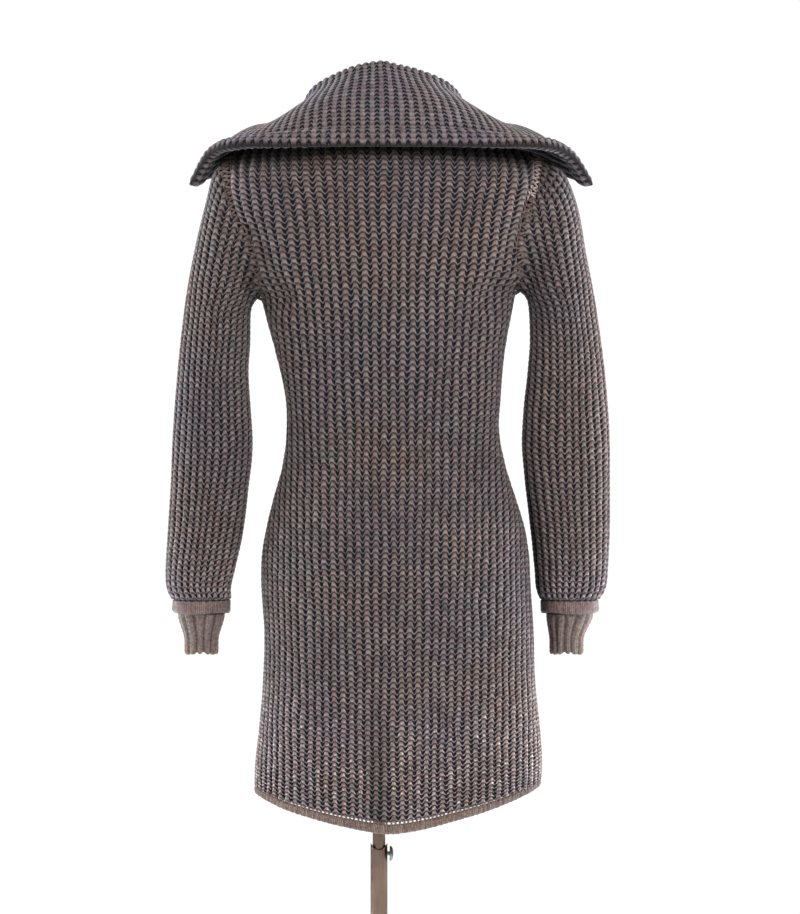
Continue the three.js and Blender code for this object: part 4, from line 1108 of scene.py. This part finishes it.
def collar_relief(c, r, to_edge):
    """Raised taupe ribs, with chevrons of navy and pale yarn in the furrows between."""
    a = np.abs(c % 1 - 0.5)
    rib = smooth((0.28 - a) / 0.2 + 0.5)
    phase = (r - CHEVRON_SWAY * np.clip((a - 0.2) / 0.3, 0, 1)) % 1
    chevron = np.cos(2 * math.pi * (phase - 0.5))
    bump = 0.5 * np.cos(2 * math.pi * r) * smooth((ROLL_HEIGHT + 4 - to_edge) / 4)
    return 1.3 * rib + (1 - rib) * (0.45 * chevron - 0.5) + bump


knit_collar = collar_piece("knit_collar")

# %% [markdown]
# ## Hem
#
# The hem is a separate narrow band, overcast with thick yarn, so it looks like a row of
# small upright cords. They slant a little, and no two are alike.

# %% Hem bands
CORD_PITCH = 2.1  # millimetres between two overcast threads
BAND_WALL = 6


def hem_band(name, side, u_from, u_to):
    fine = np.linspace(u_from, u_to, 400)
    run = run_along(smooth_surface(side, fine, HEM_BAND / 2))
    n = whole_steps(run[-1] / CORD_PITCH * (4))
    u = np.interp(np.linspace(0, run[-1], n + 1), run, fine)
    v = np.linspace(0, HEM_BAND, 13)
    c = np.tile(np.linspace(0, run[-1] / CORD_PITCH, n + 1), (len(v), 1))
    c = c + 0.25 * np.sin(0.31 * c + 1.3 * np.sin(0.17 * c))
    t = (v / HEM_BAND)[:, None]
    slant = c + 0.55 * t
    cord = np.sqrt(np.clip(np.abs(np.sin(math.pi * slant)), 0, 1))
    nth = np.floor(slant)
    size = 0.75 + 0.25 * np.sin(1.9 * nth + 0.7 * np.sin(3.3 * nth))  # no two threads alike
    p = np.stack([body_surface(side, u, height) for height in v])
    round_off = np.sqrt(np.clip(1 - np.abs(2 * t - 1) ** 3, 0, 1))
    push = (1.5 * cord * size + 2.2) * round_off - 2.4
    outer = p - inwards(p) * push[..., None]
    outer[..., 2] -= (1.3 * cord * size - 0.7) * (1 - t) ** 3
    coarse = slice(None, None, INNER_STEP)
    inset = np.stack([wall_inset(side, u[coarse], height, BAND_WALL) for height in v[coarse]])
    squeeze = 1 - 0.35 * (np.abs(2 * t[coarse] - 1) ** 3)[..., None]
    inner = p[coarse, coarse] + inset * squeeze
    for grid in (outer, inner):
        grid[..., 0] += np.sign(u_to) * SEAM / 2 if side < 0 else 0
        grid[..., 1] += side * SEAM / 2
    return wall_object(name, outer, inner, np.stack([slant, t * 2 + 0 * c], -1), INNER_STEP)


band_hem_back = hem_band("band_hem_back", 1, -1.0, 1.0)
band_hem_front_left = hem_band("band_hem_front_left", -1, 0.0, 1.0)
band_hem_front_right = hem_band("band_hem_front_right", -1, 0.0, -1.0)

# %% [markdown]
# ## Joining loops
#
# Short loops of yarn join the hem band to the knit above, with holes between them that
# light comes through. Each is a bent strand, thick in the middle, with both ends in the
# cloth.

# %% Joining loops
STRAND_SIDES, STRAND_RINGS = 6, 5
NO_STRAND_WAY = [0.31, 0.57, 0.76]  # a direction that no strand takes
LOOP_PITCH = 5.3
LOOP_RADIUS = 1.5


def capsules(name, strands, radius):
    """Many short thick strands as one mesh. A strand is three points: start, bulge, end."""
    points, faces = [], []
    turn = 2 * math.pi * np.arange(STRAND_SIDES) / STRAND_SIDES
    for a, b, c in strands:
        first = len(points)
        axis = unit(c - a)
        side = unit(np.cross(axis, NO_STRAND_WAY))
        other = np.cross(axis, side)
        for t in np.arange(STRAND_RINGS + 1) / STRAND_RINGS:
            middle = (1 - t) ** 2 * a + 2 * t * (1 - t) * b + t * t * c
            wide = radius * math.sqrt(max(0.12, 1 - (2 * t - 1) ** 4))
            points += [middle + wide * (math.cos(x) * side + math.sin(x) * other) for x in turn]
        last = first + STRAND_RINGS * STRAND_SIDES
        faces += tube_faces(first, STRAND_RINGS + 1, STRAND_SIDES)
        faces.append(tuple(reversed(range(first, first + STRAND_SIDES))))
        faces.append(tuple(range(last, last + STRAND_SIDES)))
    print(f"{name}: {len(strands)} strands")
    return add_piece(name, points, faces)


def hem_loops(name, side, u_from, u_to):
    fine = np.linspace(u_from, u_to, 400)
    run = run_along(smooth_surface(side, fine, HEM_BAND))
    strands = []
    for k in range(int(run[-1] / LOOP_PITCH)):
        place = (k + 0.5 + 0.05 * math.sin(2.3 * k)) * LOOP_PITCH
        u = np.array([np.interp(place, run, fine)])
        low, high = (body_surface(side, u, v)[0] for v in (HEM_BAND - 1.6, V_PANEL_LOW + 1.8))
        low = low + 1.6 * inwards(body_surface(side, u, 10.0))[0]
        high = high + 1.4 * inwards(body_surface(side, u, 16.0))[0]
        bulge = (low + high) / 2 - 0.8 * inwards(low[None])[0]
        strands.append([x + [COAT_X, side * SEAM / 2, 0] for x in (low, bulge, high)])
    return capsules(name, strands, LOOP_RADIUS)


loops_hem_back = hem_loops("loops_hem_back", 1, -0.995, 0.995)
loops_hem_front_left = hem_loops("loops_hem_front_left", -1, 0.01, 0.995)
loops_hem_front_right = hem_loops("loops_hem_front_right", -1, -0.01, -0.995)

# %% [markdown]
# ## Seam stitches round the armholes
#
# The sleeves are sewn in by hand. The stitches show as short slanted strands that cross from the
# body to the sleeve, with the loops they pull together on each side. Each end is put on the
# nearest place of the cloth. The strands high on the right shoulder take a paler copy of the yarn,
# painted light where that shoulder is lit; all the others take the darker joining yarn as painted
# shade, and lower down the strands sink into the knit.

# %% Armhole stitches
# Above this the strands sit on the cloth, and those of the right armhole are painted light; below
# it they sink.
PALE_ABOVE = 1352
YARN_RADIUS = 1.35


def on_cloth(cloth, point, lift):
    """The place on the cloth nearest to a point, lifted off it, in millimetres."""
    near, normal, _, _ = cloth.find_nearest(Vector(point / 1000))
    return np.array(near) * 1000 + np.array(normal) * lift


def armhole_stitches(sign, sleeve_piece, front_piece):
    """Strands of sewing yarn, closer together over the back of the shoulder."""
    angle = np.concatenate([np.linspace(0.1, 1.5, 27), np.linspace(1.58, 2 * math.pi - 0.1, 50)])
    ring, inset = armhole(sign, angle)
    into = across_seam(ring, inset)
    out = -unit(inset)
    along = unit(np.gradient(ring, axis=0))
    now = bpy.context.evaluated_depsgraph_get()
    arm, back, front = (BVHTree.FromObject(x, now) for x in (sleeve_piece, knit_back, front_piece))
    strands = []
    for k, (p, i, o, a) in enumerate(zip(ring + [COAT_X, 0, 0], into, out, along)):
        body = back if angle[k] <= math.pi else front
        slant = 2.2 * (-1) ** k + 1.1 * math.sin(2.7 * k)
        reach = 3.4 + 1.5 * math.sin(1.9 * k)
        sunk = 1.3 * smooth((PALE_ABOVE - p[2]) / 30)
        first = on_cloth(body, p - reach * i - slant * a + 5 * o, 0.2 - sunk)
        last = on_cloth(arm, p + reach * i + slant * a + 9 * o, 0.2 - sunk)
        strands.append([first, (first + last) / 2 + (1.1 - sunk) * o, last])
        for cloth, way in ((body, -1), (arm, 1)):
            off = way * (4.2 + 1.6 * math.sin(2.9 * k + way))
            start = p + off * i + (1.6 + 0.5 * math.sin(5.3 * k)) * a + 7 * o
            end = p + (off + 3.2 * way) * i - (1.2 + 0.6 * math.cos(4.1 * k)) * a + 7 * o
            three = ((start, 0), ((start + end) / 2, 1), (end, 0))
            strands.append([on_cloth(cloth, x, h - sunk) for x, h in three])
    return strands


stitches_left = armhole_stitches(1, knit_sleeve_left, knit_front_left)
stitches_right = armhole_stitches(-1, knit_sleeve_right, knit_front_right)
# Painted light: the high strands of the right armhole get the pale yarn, the rest the darker yarn
# as painted shade.
pale = [x for x in stitches_right if x[1][2] > PALE_ABOVE]
plain = [x for x in stitches_right if x[1][2] <= PALE_ABOVE]
seam_yarn = capsules("armhole_stitches", stitches_left + plain, YARN_RADIUS)
seam_yarn_pale = capsules("armhole_stitches_pale", pale, YARN_RADIUS)

# %% [markdown]
# ## Dress form
#
# The coat hangs on a limbless form covered in a smooth jersey. It is hidden but for what
# shows up through the hem, so it follows the coat's inside, a little smaller, with a flat
# floor, shut shoulders and a short capped neck.

# %% Form
FORM_BOTTOM_V = 204
FORM_FLOOR = HEM_Z + FORM_BOTTOM_V
FORM_NECK = (58, 44, 46, 1492, 10)  # half width, depth behind and before, top, cap


def form_ring(u, v):
    """The form's outline at the height v, a little inside the coat."""
    halves = []
    for side, line in ((1, u), (-1, u[::-1])):
        on_shoulder = smooth((v - (TOP_V - 90)) / 80)
        loose = 5.5 + 9 * smooth((np.abs(line) - 0.55) / 0.35)
        inset = WALL + (SEAM if side > 0 else 2.6) + loose * (1 - on_shoulder) + 0.4
        halves.append(smooth_surface(side, line, v) + wall_inset(side, line, v, inset))
    return np.concatenate(halves)


def neck_ring(p, t):
    """A point of the shut top carried up the neck; past t = 1 it is the cap's."""
    width, back, front, high, cap = FORM_NECK
    depth = back if p[1] > 0 else front
    angle = math.atan2(p[1] / depth, (p[0] - NECK_X) / width)
    narrow = (1 - 0.1 * t) * (1 if t <= 1 else 0.6)
    z = p[2] + (high - p[2]) * t if t <= 1 else high + cap * 0.8
    return [NECK_X + width * narrow * math.cos(angle), depth * narrow * math.sin(angle), z]


def form_torso(name):
    u = np.linspace(-1, 1, 49)
    wide = np.abs(np.concatenate([u, u[::-1]]))
    rings = [form_ring(u, v) for v in np.linspace(FORM_BOTTOM_V, TOP_V - 0.5, 90)]
    rings[0][:, 2] = FORM_FLOOR
    count, half = len(wide), len(u)
    top = (len(rings) - 1) * count
    points = list(np.concatenate(rings))
    faces = tube_faces(0, len(rings), count)
    faces.append(tuple(reversed(range(count))))
    neck = [j for j in range(count) if wide[j] < NECK_U]
    for j in range(half - 1):
        if not (j in neck and j + 1 in neck):
            faces.append((top + j, top + j + 1, top + count - 2 - j, top + count - 1 - j))
    below = [top + j for j in neck]
    for t in (0.12, 0.3, 0.6, 0.85, 1.0, 1.12):
        loop = list(range(len(points), len(points) + len(neck)))
        points += [np.array(neck_ring(points[top + j], t)) for j in neck]
        for k in range(len(loop)):
            n = (k + 1) % len(loop)
            faces.append((below[k], below[n], loop[n], loop[k]))
        below = loop
    faces.append(tuple(below))
    print(f"{name}: {len(faces)} faces")
    return add_piece(name, np.array(points) + [COAT_X, 0, 0], faces)


form_cover = form_torso("form_cover")

# %% [markdown]
# ## Pole, clamp and base
#
# The pole is two turned steel tubes, one sliding in the other. The outer tube's mouth is
# cut to a saddle, which leaves an ear on each side, and a thumb screw through its wall
# holds the inner one. All are profiles turned round the pole's axis.

# %% Turned pieces
def turned(name, profile, sides=72, mouth=None):
    """A profile of (radius, z) turned round the z axis. mouth may lower points of the top."""
    turn = [2 * math.pi * k / sides for k in range(sides)]
    points = []
    for radius, z in profile:
        ring = [(radius * math.cos(angle), radius * math.sin(angle)) for angle in turn]
        points += [(x, y, mouth(x, z) if mouth else z) for x, y in ring]
    faces = tube_faces(0, len(profile), sides)
    if profile[0] == profile[-1]:
        faces = [tuple(j % (len(points) - sides) for j in face) for face in faces]
        points = points[:-sides]
    else:
        faces.append(tuple(reversed(range(sides))))
        faces.append(tuple(range(len(points) - sides, len(points))))
    made = add_piece(name, points, faces)
    made.data.set_sharp_from_angle(angle=math.radians(35))
    return made


OUTER_RADIUS, OUTER_BORE, OUTER_TOP = 10.75, 8.6, 538
SADDLE = 8  # how deep the mouth is cut
STRAIGHT_TOP = 500  # the cut changes nothing up to here
HUB_TOP = 34
CUTTER = (OUTER_RADIUS**2 + SADDLE**2) / (2 * SADDLE)


def saddle_mouth(x, z):
    """Lowers the mouth's points to the saddle, and leaves the rest of the tube."""
    if z <= STRAIGHT_TOP:
        return z
    cut = OUTER_TOP - SADDLE + CUTTER - math.sqrt(CUTTER**2 - x * x)
    return min(z, cut - (OUTER_TOP - z))


INNER_TOP = FORM_FLOOR + 49.7
steel_inner = turned(
    "steel_inner_tube",
    [(6.4, 290), (7.4, 290), (8, 290.8), (8, INNER_TOP), (6.4, INNER_TOP), (6.4, 290)],
)
steel_outer = turned(
    "steel_outer_tube",
    [
        (OUTER_BORE, HUB_TOP + SEAM),
        (OUTER_RADIUS, HUB_TOP + SEAM),
        (OUTER_RADIUS, STRAIGHT_TOP),
        (OUTER_RADIUS, OUTER_TOP - 0.5),
        (OUTER_RADIUS - 0.5, OUTER_TOP),
        (OUTER_BORE + 0.3, OUTER_TOP),
        (OUTER_BORE, OUTER_TOP - 0.3),
        (OUTER_BORE, STRAIGHT_TOP),
        (OUTER_BORE, HUB_TOP + SEAM),
    ],
    mouth=saddle_mouth,
)
PLATE = [(1, 0), (163.5, 0), (165, 1.5), (165, 4.6), (163.6, 6.2), (150, 6.9), (82.5, 9)]
HUB = [(26, 10), (20, 12.6), (16.1, 18), (13.75, 31), (13.75, 33.2), (13, HUB_TOP), (1, HUB_TOP)]
base_plate = turned("steel_base_plate", PLATE + HUB, sides=128)

# %% [markdown]
# ## Thumb screw
#
# The screw has a plain shank and a domed head. It is turned upright like the tubes, then
# laid over to point through the outer tube's wall. The gap under the head is what lets a
# hand get round it.

# %% Thumb screw
SCREW_Z, SHANK, SCREW_HEAD, HEAD_THICK, HEAD_GAP = 524, 2.6, 9.5, 4.6, 2.8
SCREW_POINT = 8.3  # where it meets the inner tube
head_flat = OUTER_RADIUS + HEAD_GAP
shank = [(0.2, SCREW_POINT), (SHANK, SCREW_POINT), (SHANK, head_flat)]
rim_of_head = [(SCREW_HEAD - 0.5, head_flat), (SCREW_HEAD, head_flat + 0.4)]
dome = [
    (SCREW_HEAD * math.cos(a) ** 0.8, head_flat + 1.2 + (HEAD_THICK - 1.2) * math.sin(a))
    for a in np.radians(range(0, 88, 11))
]
thumb_screw = turned(
    "thumb_screw", shank + rim_of_head + dome + [(0.2, head_flat + HEAD_THICK)], sides=48
)
for vertex in thumb_screw.data.vertices:
    x, y, z = vertex.co
    vertex.co = (-z, y, x + SCREW_Z * MM)
print("screw head at x", round(-head_flat - HEAD_THICK, 1), "mm")

# %% [markdown]
# ## Plain wool
#
# The bands, cuffs and joining yarn are the same wool in one shade, so their ramp runs across one
# cord or rib with painted shade: dark where two meet, with painted light on top. The overcast band
# gives the eye its row of small cords, and the cuff its soft flutes. The strands have no map, so
# the first colour of their ramp dyes them all over.

# %% Plain wool
def striped_wool(name, stops, shift=0.0):
    """Wool whose colour follows one rib or cord across."""
    material, tree, shader = new_material(name, 0.92, sheen=0.45)
    count = node(tree, UV_MAP, uv_map="stitches")
    across = {0: node(tree, SPLIT, {0: count}), 1: shift}
    across = node(tree, MATH, across, operation="SUBTRACT")
    in_cord = node(tree, MATH, {0: across}, operation="FRACT")
    chart = node(tree, RAMP, {0: in_cord}, stops)
    height = node(tree, MATH, {0: across, 1: 0.5}, operation="PINGPONG")
    nth = node(tree, MATH, {0: across}, operation="FLOOR")
    finish_wool(tree, shader, chart, height, node(tree, JOIN, {0: nth}))
    return material


# Painted shade in the grooves where two cords or ribs meet, painted light on their tops.
CORD = [(0.0, "5E4F47"), (0.22, "8D796E"), (0.5, "A59286"), (0.78, "8D796E"), (1.0, "5E4F47")]
RIB = [(0.0, "9C8A7F"), (0.12, "8E7C72"), (0.25, "9A887D"), (0.38, "7C6B62"), (0.5, "5C4E49")]
RIB += [(0.62, "7C6B62"), (0.75, "9A887D"), (0.88, "8E7C72"), (1.0, "9C8A7F")]
wool_band = striped_wool("wool_overcast_band", CORD)
wool_cuff = striped_wool("wool_cuff_rib", RIB, shift=0.125)
wool_joining = striped_wool("wool_joining_yarn", [(0.0, "84746A"), (1.0, "9A8A80")])
# A paler copy of the seam yarn, for painted light on the lit strands.
wool_seam = striped_wool("wool_seam_yarn", [(0.0, "D2C4BA"), (1.0, "F2E6DC")])
for piece, wool, solid in (
    (band_cuff_left, wool_band, "cuff_band_left"),
    (band_cuff_right, wool_band, "cuff_band_right"),
    (rib_cuff_left, wool_cuff, "cuff_rib_left"),
    (rib_cuff_right, wool_cuff, "cuff_rib_right"),
    (band_hem_back, wool_band, "hem_band_back"),
    (band_hem_front_left, wool_band, "hem_band_front_left"),
    (band_hem_front_right, wool_band, "hem_band_front_right"),
    (loops_hem_back, wool_joining, None),
    (loops_hem_front_left, wool_joining, None),
    (loops_hem_front_right, wool_joining, None),
    (seam_yarn, wool_joining, None),
    (seam_yarn_pale, wool_seam, None),
):
    dress(piece, wool, replaced=solid)

# %% [markdown]
# ## Collar wool
#
# The collar's chart has broad taupe ribs, and in the furrows chevrons of navy and pale yarn that
# point to the edge. Towards the rolled edge the colour is darkened: painted shade where the roll
# turns under, which gives the roll its darker rim.

# %% Collar wool
NAVY_CHEVRON = [(0.0, "0C0912"), (0.2, "15111A"), (0.36, "625D62"), (0.52, "8B878D")]
NAVY_CHEVRON += [(0.68, "504B51"), (0.82, "0F0B14")]
TAUPE_RIB = [(0.0, "6E6465"), (0.35, "928889"), (0.75, "928889"), (1.0, "6E6465")]
# Painted shade towards the rolled edge, where the roll turns under, counted in rows from the edge.
ROLL_EDGE_SHADE = [(0.0, "5A4E48"), (0.15, "8E807A"), (0.4, "E4DEDA"), (0.75, "FFFFFF")]  # by rows
wool_collar, tree, shader = new_material("wool_collar_rib", 0.92, sheen=0.45)
row, a, phase, loop = place_in_stitch(tree, 0.2, -CHEVRON_SWAY)
rib = node(tree, RANGE, {0: a, 1: 0.29, 2: 0.19}, interpolation_type="SMOOTHSTEP")
furrow = node(tree, RAMP, {0: phase}, NAVY_CHEVRON)
level = node(tree, MATH, {0: row}, operation="FRACT")
ridge = node(tree, RAMP, {0: level}, TAUPE_RIB)
chart = node(tree, MIX, {0: rib, 6: furrow, 7: ridge}, data_type="RGBA").outputs[2]
# Painted shade: the colour is multiplied darker towards the rolled edge.
shut = {0: 1.0, 6: chart, 7: node(tree, RAMP, {0: row}, ROLL_EDGE_SHADE)}
chart = node(tree, MIX, shut, data_type="RGBA", blend_type="MULTIPLY").outputs[2]
grey = node(tree, "ShaderNodeRGBToBW", {0: chart})
height = node(tree, MATH, {0: grey, 1: 1.6}, operation="MULTIPLY")
finish_wool(tree, shader, chart, height, loop)
dress(knit_collar, wool_collar, replaced="collar")

# %% [markdown]
# ## Jersey and powder coat
#
# The form wears a fine cotton jersey, knitted at about 1.2 mm to a wale: a matt, warm
# white. The base is powder coated, which leaves a fine orange-peel grain. Both are one
# shade that drifts a little from place to place, with a shallow relief.

# %% Jersey and powder coat
def clouded(name, roughness, dark, light, scale, sheen=0.0):
    """A finish whose colour drifts between two close shades."""
    material, tree, shader = new_material(name, roughness, sheen=sheen)
    spot = node(tree, PLACE).outputs["Object"]
    cloud = node(tree, NOISE, {0: spot, "Scale": scale})
    colour = node(tree, RAMP, {0: cloud}, [(0.3, dark), (0.7, light)])
    tree.links.new(colour.outputs[0], shader.inputs["Base Color"])
    return material, tree, shader, spot


jersey, tree, shader, spot = clouded("cotton_jersey", 0.85, "CFC9BF", "DAD5CC", 12.0, sheen=0.2)
wale = node(tree, "ShaderNodeTexWave", {0: spot, "Scale": 130.0, "Distortion": 1.5})
link_bump(tree, shader, wale.outputs["Fac"], 0.25, 0.0004)
dress(form_cover, jersey, replaced="form_torso")

coated, tree, shader, spot = clouded("powder_coated_steel", 0.48, "8F8A84", "9B968F", 14.0)
grit = node(tree, NOISE, {0: spot, "Scale": 700.0, "Detail": 2.0})
link_bump(tree, shader, grit, 0.2, 0.0003)
dress(base_plate, coated, body="stand", replaced="base_plate")

# %% [markdown]
# ## Metals
#
# The tubes are steel under a warm satin nickel plate, brushed along their length, so their
# highlights are soft and streaked lengthwise. The screw is zinc plated, greyer and duller.

# %% Metals
def brushed_metal(name, dark, light, roughness, stretch):
    """A metal with fine lines along its length and slow clouds of wear."""
    material, tree, shader = new_material(name, roughness, metallic=1.0)
    spot = node(tree, PLACE).outputs["Object"]
    long = node(tree, "ShaderNodeMapping", {0: spot, "Scale": stretch})
    lines = node(tree, NOISE, {0: long, "Scale": 900.0, "Detail": 2.0})
    cloud = node(tree, NOISE, {0: spot, "Scale": 22.0, "Detail": 3.0})
    clouds = node(tree, MATH, {0: cloud, 1: 0.65}, operation="MULTIPLY")
    mixed = node(tree, MATH, {0: lines, 1: 0.35, 2: clouds}, operation="MULTIPLY_ADD")
    colour = node(tree, RAMP, {0: mixed}, [(0.3, dark), (0.7, light)])
    tree.links.new(colour.outputs[0], shader.inputs["Base Color"])
    rough = node(tree, MATH, {0: cloud, 1: 0.16, 2: roughness - 0.08}, operation="MULTIPLY_ADD")
    tree.links.new(rough.outputs[0], shader.inputs["Roughness"])
    link_bump(tree, shader, lines, 0.12, 0.0002)
    return material


satin_nickel = brushed_metal("satin_nickel_steel", "866E5F", "B39583", 0.36, (1, 1, 0.03))
plated_screw = brushed_metal("plated_zinc_screw", "7C817A", "9AA098", 0.4, (1, 1, 1))
dress(steel_inner, satin_nickel, body="mast", replaced="inner_tube")
dress(steel_outer, satin_nickel, body="stand", replaced="outer_tube")
dress(thumb_screw, plated_screw, body="screw", replaced="clamp_screw")

# %% [markdown]
# ## How the pieces hang
#
# A knitted piece hangs under its own weight, and the form's cover is stuffed tight.

# %% [markdown]
# ## Light
#
# A bright white room: the world is white to the camera and dimmer as a light, least from
# below, so that furrows stay dark. A large soft box stands high on the camera's right and a
# weak one on its left. A tall, faintly blue one on each side, a little beyond the coat,
# gives its edges their pale rim.

# %% Light
scene = bpy.context.scene
scene.view_settings.view_transform = "Standard"
world = bpy.data.worlds.new("white room")
scene.world = world
world.use_nodes = True
sky = world.node_tree
sky.nodes.clear()
up = node(sky, SPLIT, {0: node(sky, PLACE).outputs["Generated"]}).outputs[2]
strength = node(sky, RANGE, {0: up, 1: -0.35, 2: 0.6, 3: 0.08, 4: 0.53})
lamp_sky = node(sky, "ShaderNodeBackground", {"Color": (1, 1, 1, 1), "Strength": strength})
bright = node(sky, "ShaderNodeBackground", {"Color": (1, 1, 1, 1), "Strength": 1.05})
seen = node(sky, "ShaderNodeLightPath").outputs["Is Camera Ray"]
both = node(sky, "ShaderNodeMixShader", {0: seen, 1: lamp_sky, 2: bright})
node(sky, "ShaderNodeOutputWorld", {"Surface": both})


def soft_box(name, place, size, power, colour=(1, 1, 1)):
    """A lamp that looks at the middle of the coat."""
    data = bpy.data.lights.new(name, "AREA")
    data.color = colour
    data.shape = "RECTANGLE"
    data.size, data.size_y = size
    data.energy = power
    lamp = bpy.data.objects.new(name, data)
    lamp.location = place
    lamp.rotation_mode = "QUATERNION"
    lamp.rotation_quaternion = (Vector((0, 0, 1)) - Vector(place)).to_track_quat("-Z", "Y")
    scene.collection.objects.link(lamp)
    return lamp


soft_box("key box", (-1.6, 3.0, 2.6), (1.6, 1.6), 66)
soft_box("fill box", (2.0, 2.6, 1.6), (1.6, 2.0), 10)
for side in (1, -1):
    rim = soft_box("rim box", (2.3 * side, -0.7, 1.1), (0.8, 2.2), 115, (0.74, 0.88, 1.0))
    rim.visible_glossy = False  # it lights the wool's edges, and leaves the tubes plain

# %% [markdown]
# ## Floor
#
# A disc of pale paper, big enough for the stand's shadow, with a little light of its own so
# that it ends in the white of the room.

# %% Floor
FLOOR_RADIUS = 2.1  # metres
turn = np.linspace(0, 2 * math.pi, 129)[:-1]
disc = [(FLOOR_RADIUS * math.cos(x), FLOOR_RADIUS * math.sin(x), 0) for x in turn]
floor_mesh = bpy.data.meshes.new("floor")
floor_mesh.from_pydata(disc, [], [tuple(range(len(disc)))])
floor = bpy.data.objects.new("floor", floor_mesh)
floor.location.z = -0.0005
scene.collection.objects.link(floor)
paper, _, shader = new_material("white_paper", 0.9)
shader.inputs["Base Color"].default_value = (*linear("F4F4F4"), 1)
shader.inputs["Emission Color"].default_value = (1, 1, 1, 1)
shader.inputs["Emission Strength"].default_value = 0.15
floor_mesh.materials.append(paper)
floor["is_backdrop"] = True

# %% [markdown]
# ## Finish
#
# The box of the dressed part is printed. The knit may stand out from the solids by a
# stitch, and no more.

# %% Finish
low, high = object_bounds()
print("box of the dressed part:", [round(x, 3) for x in (*low, *high)])
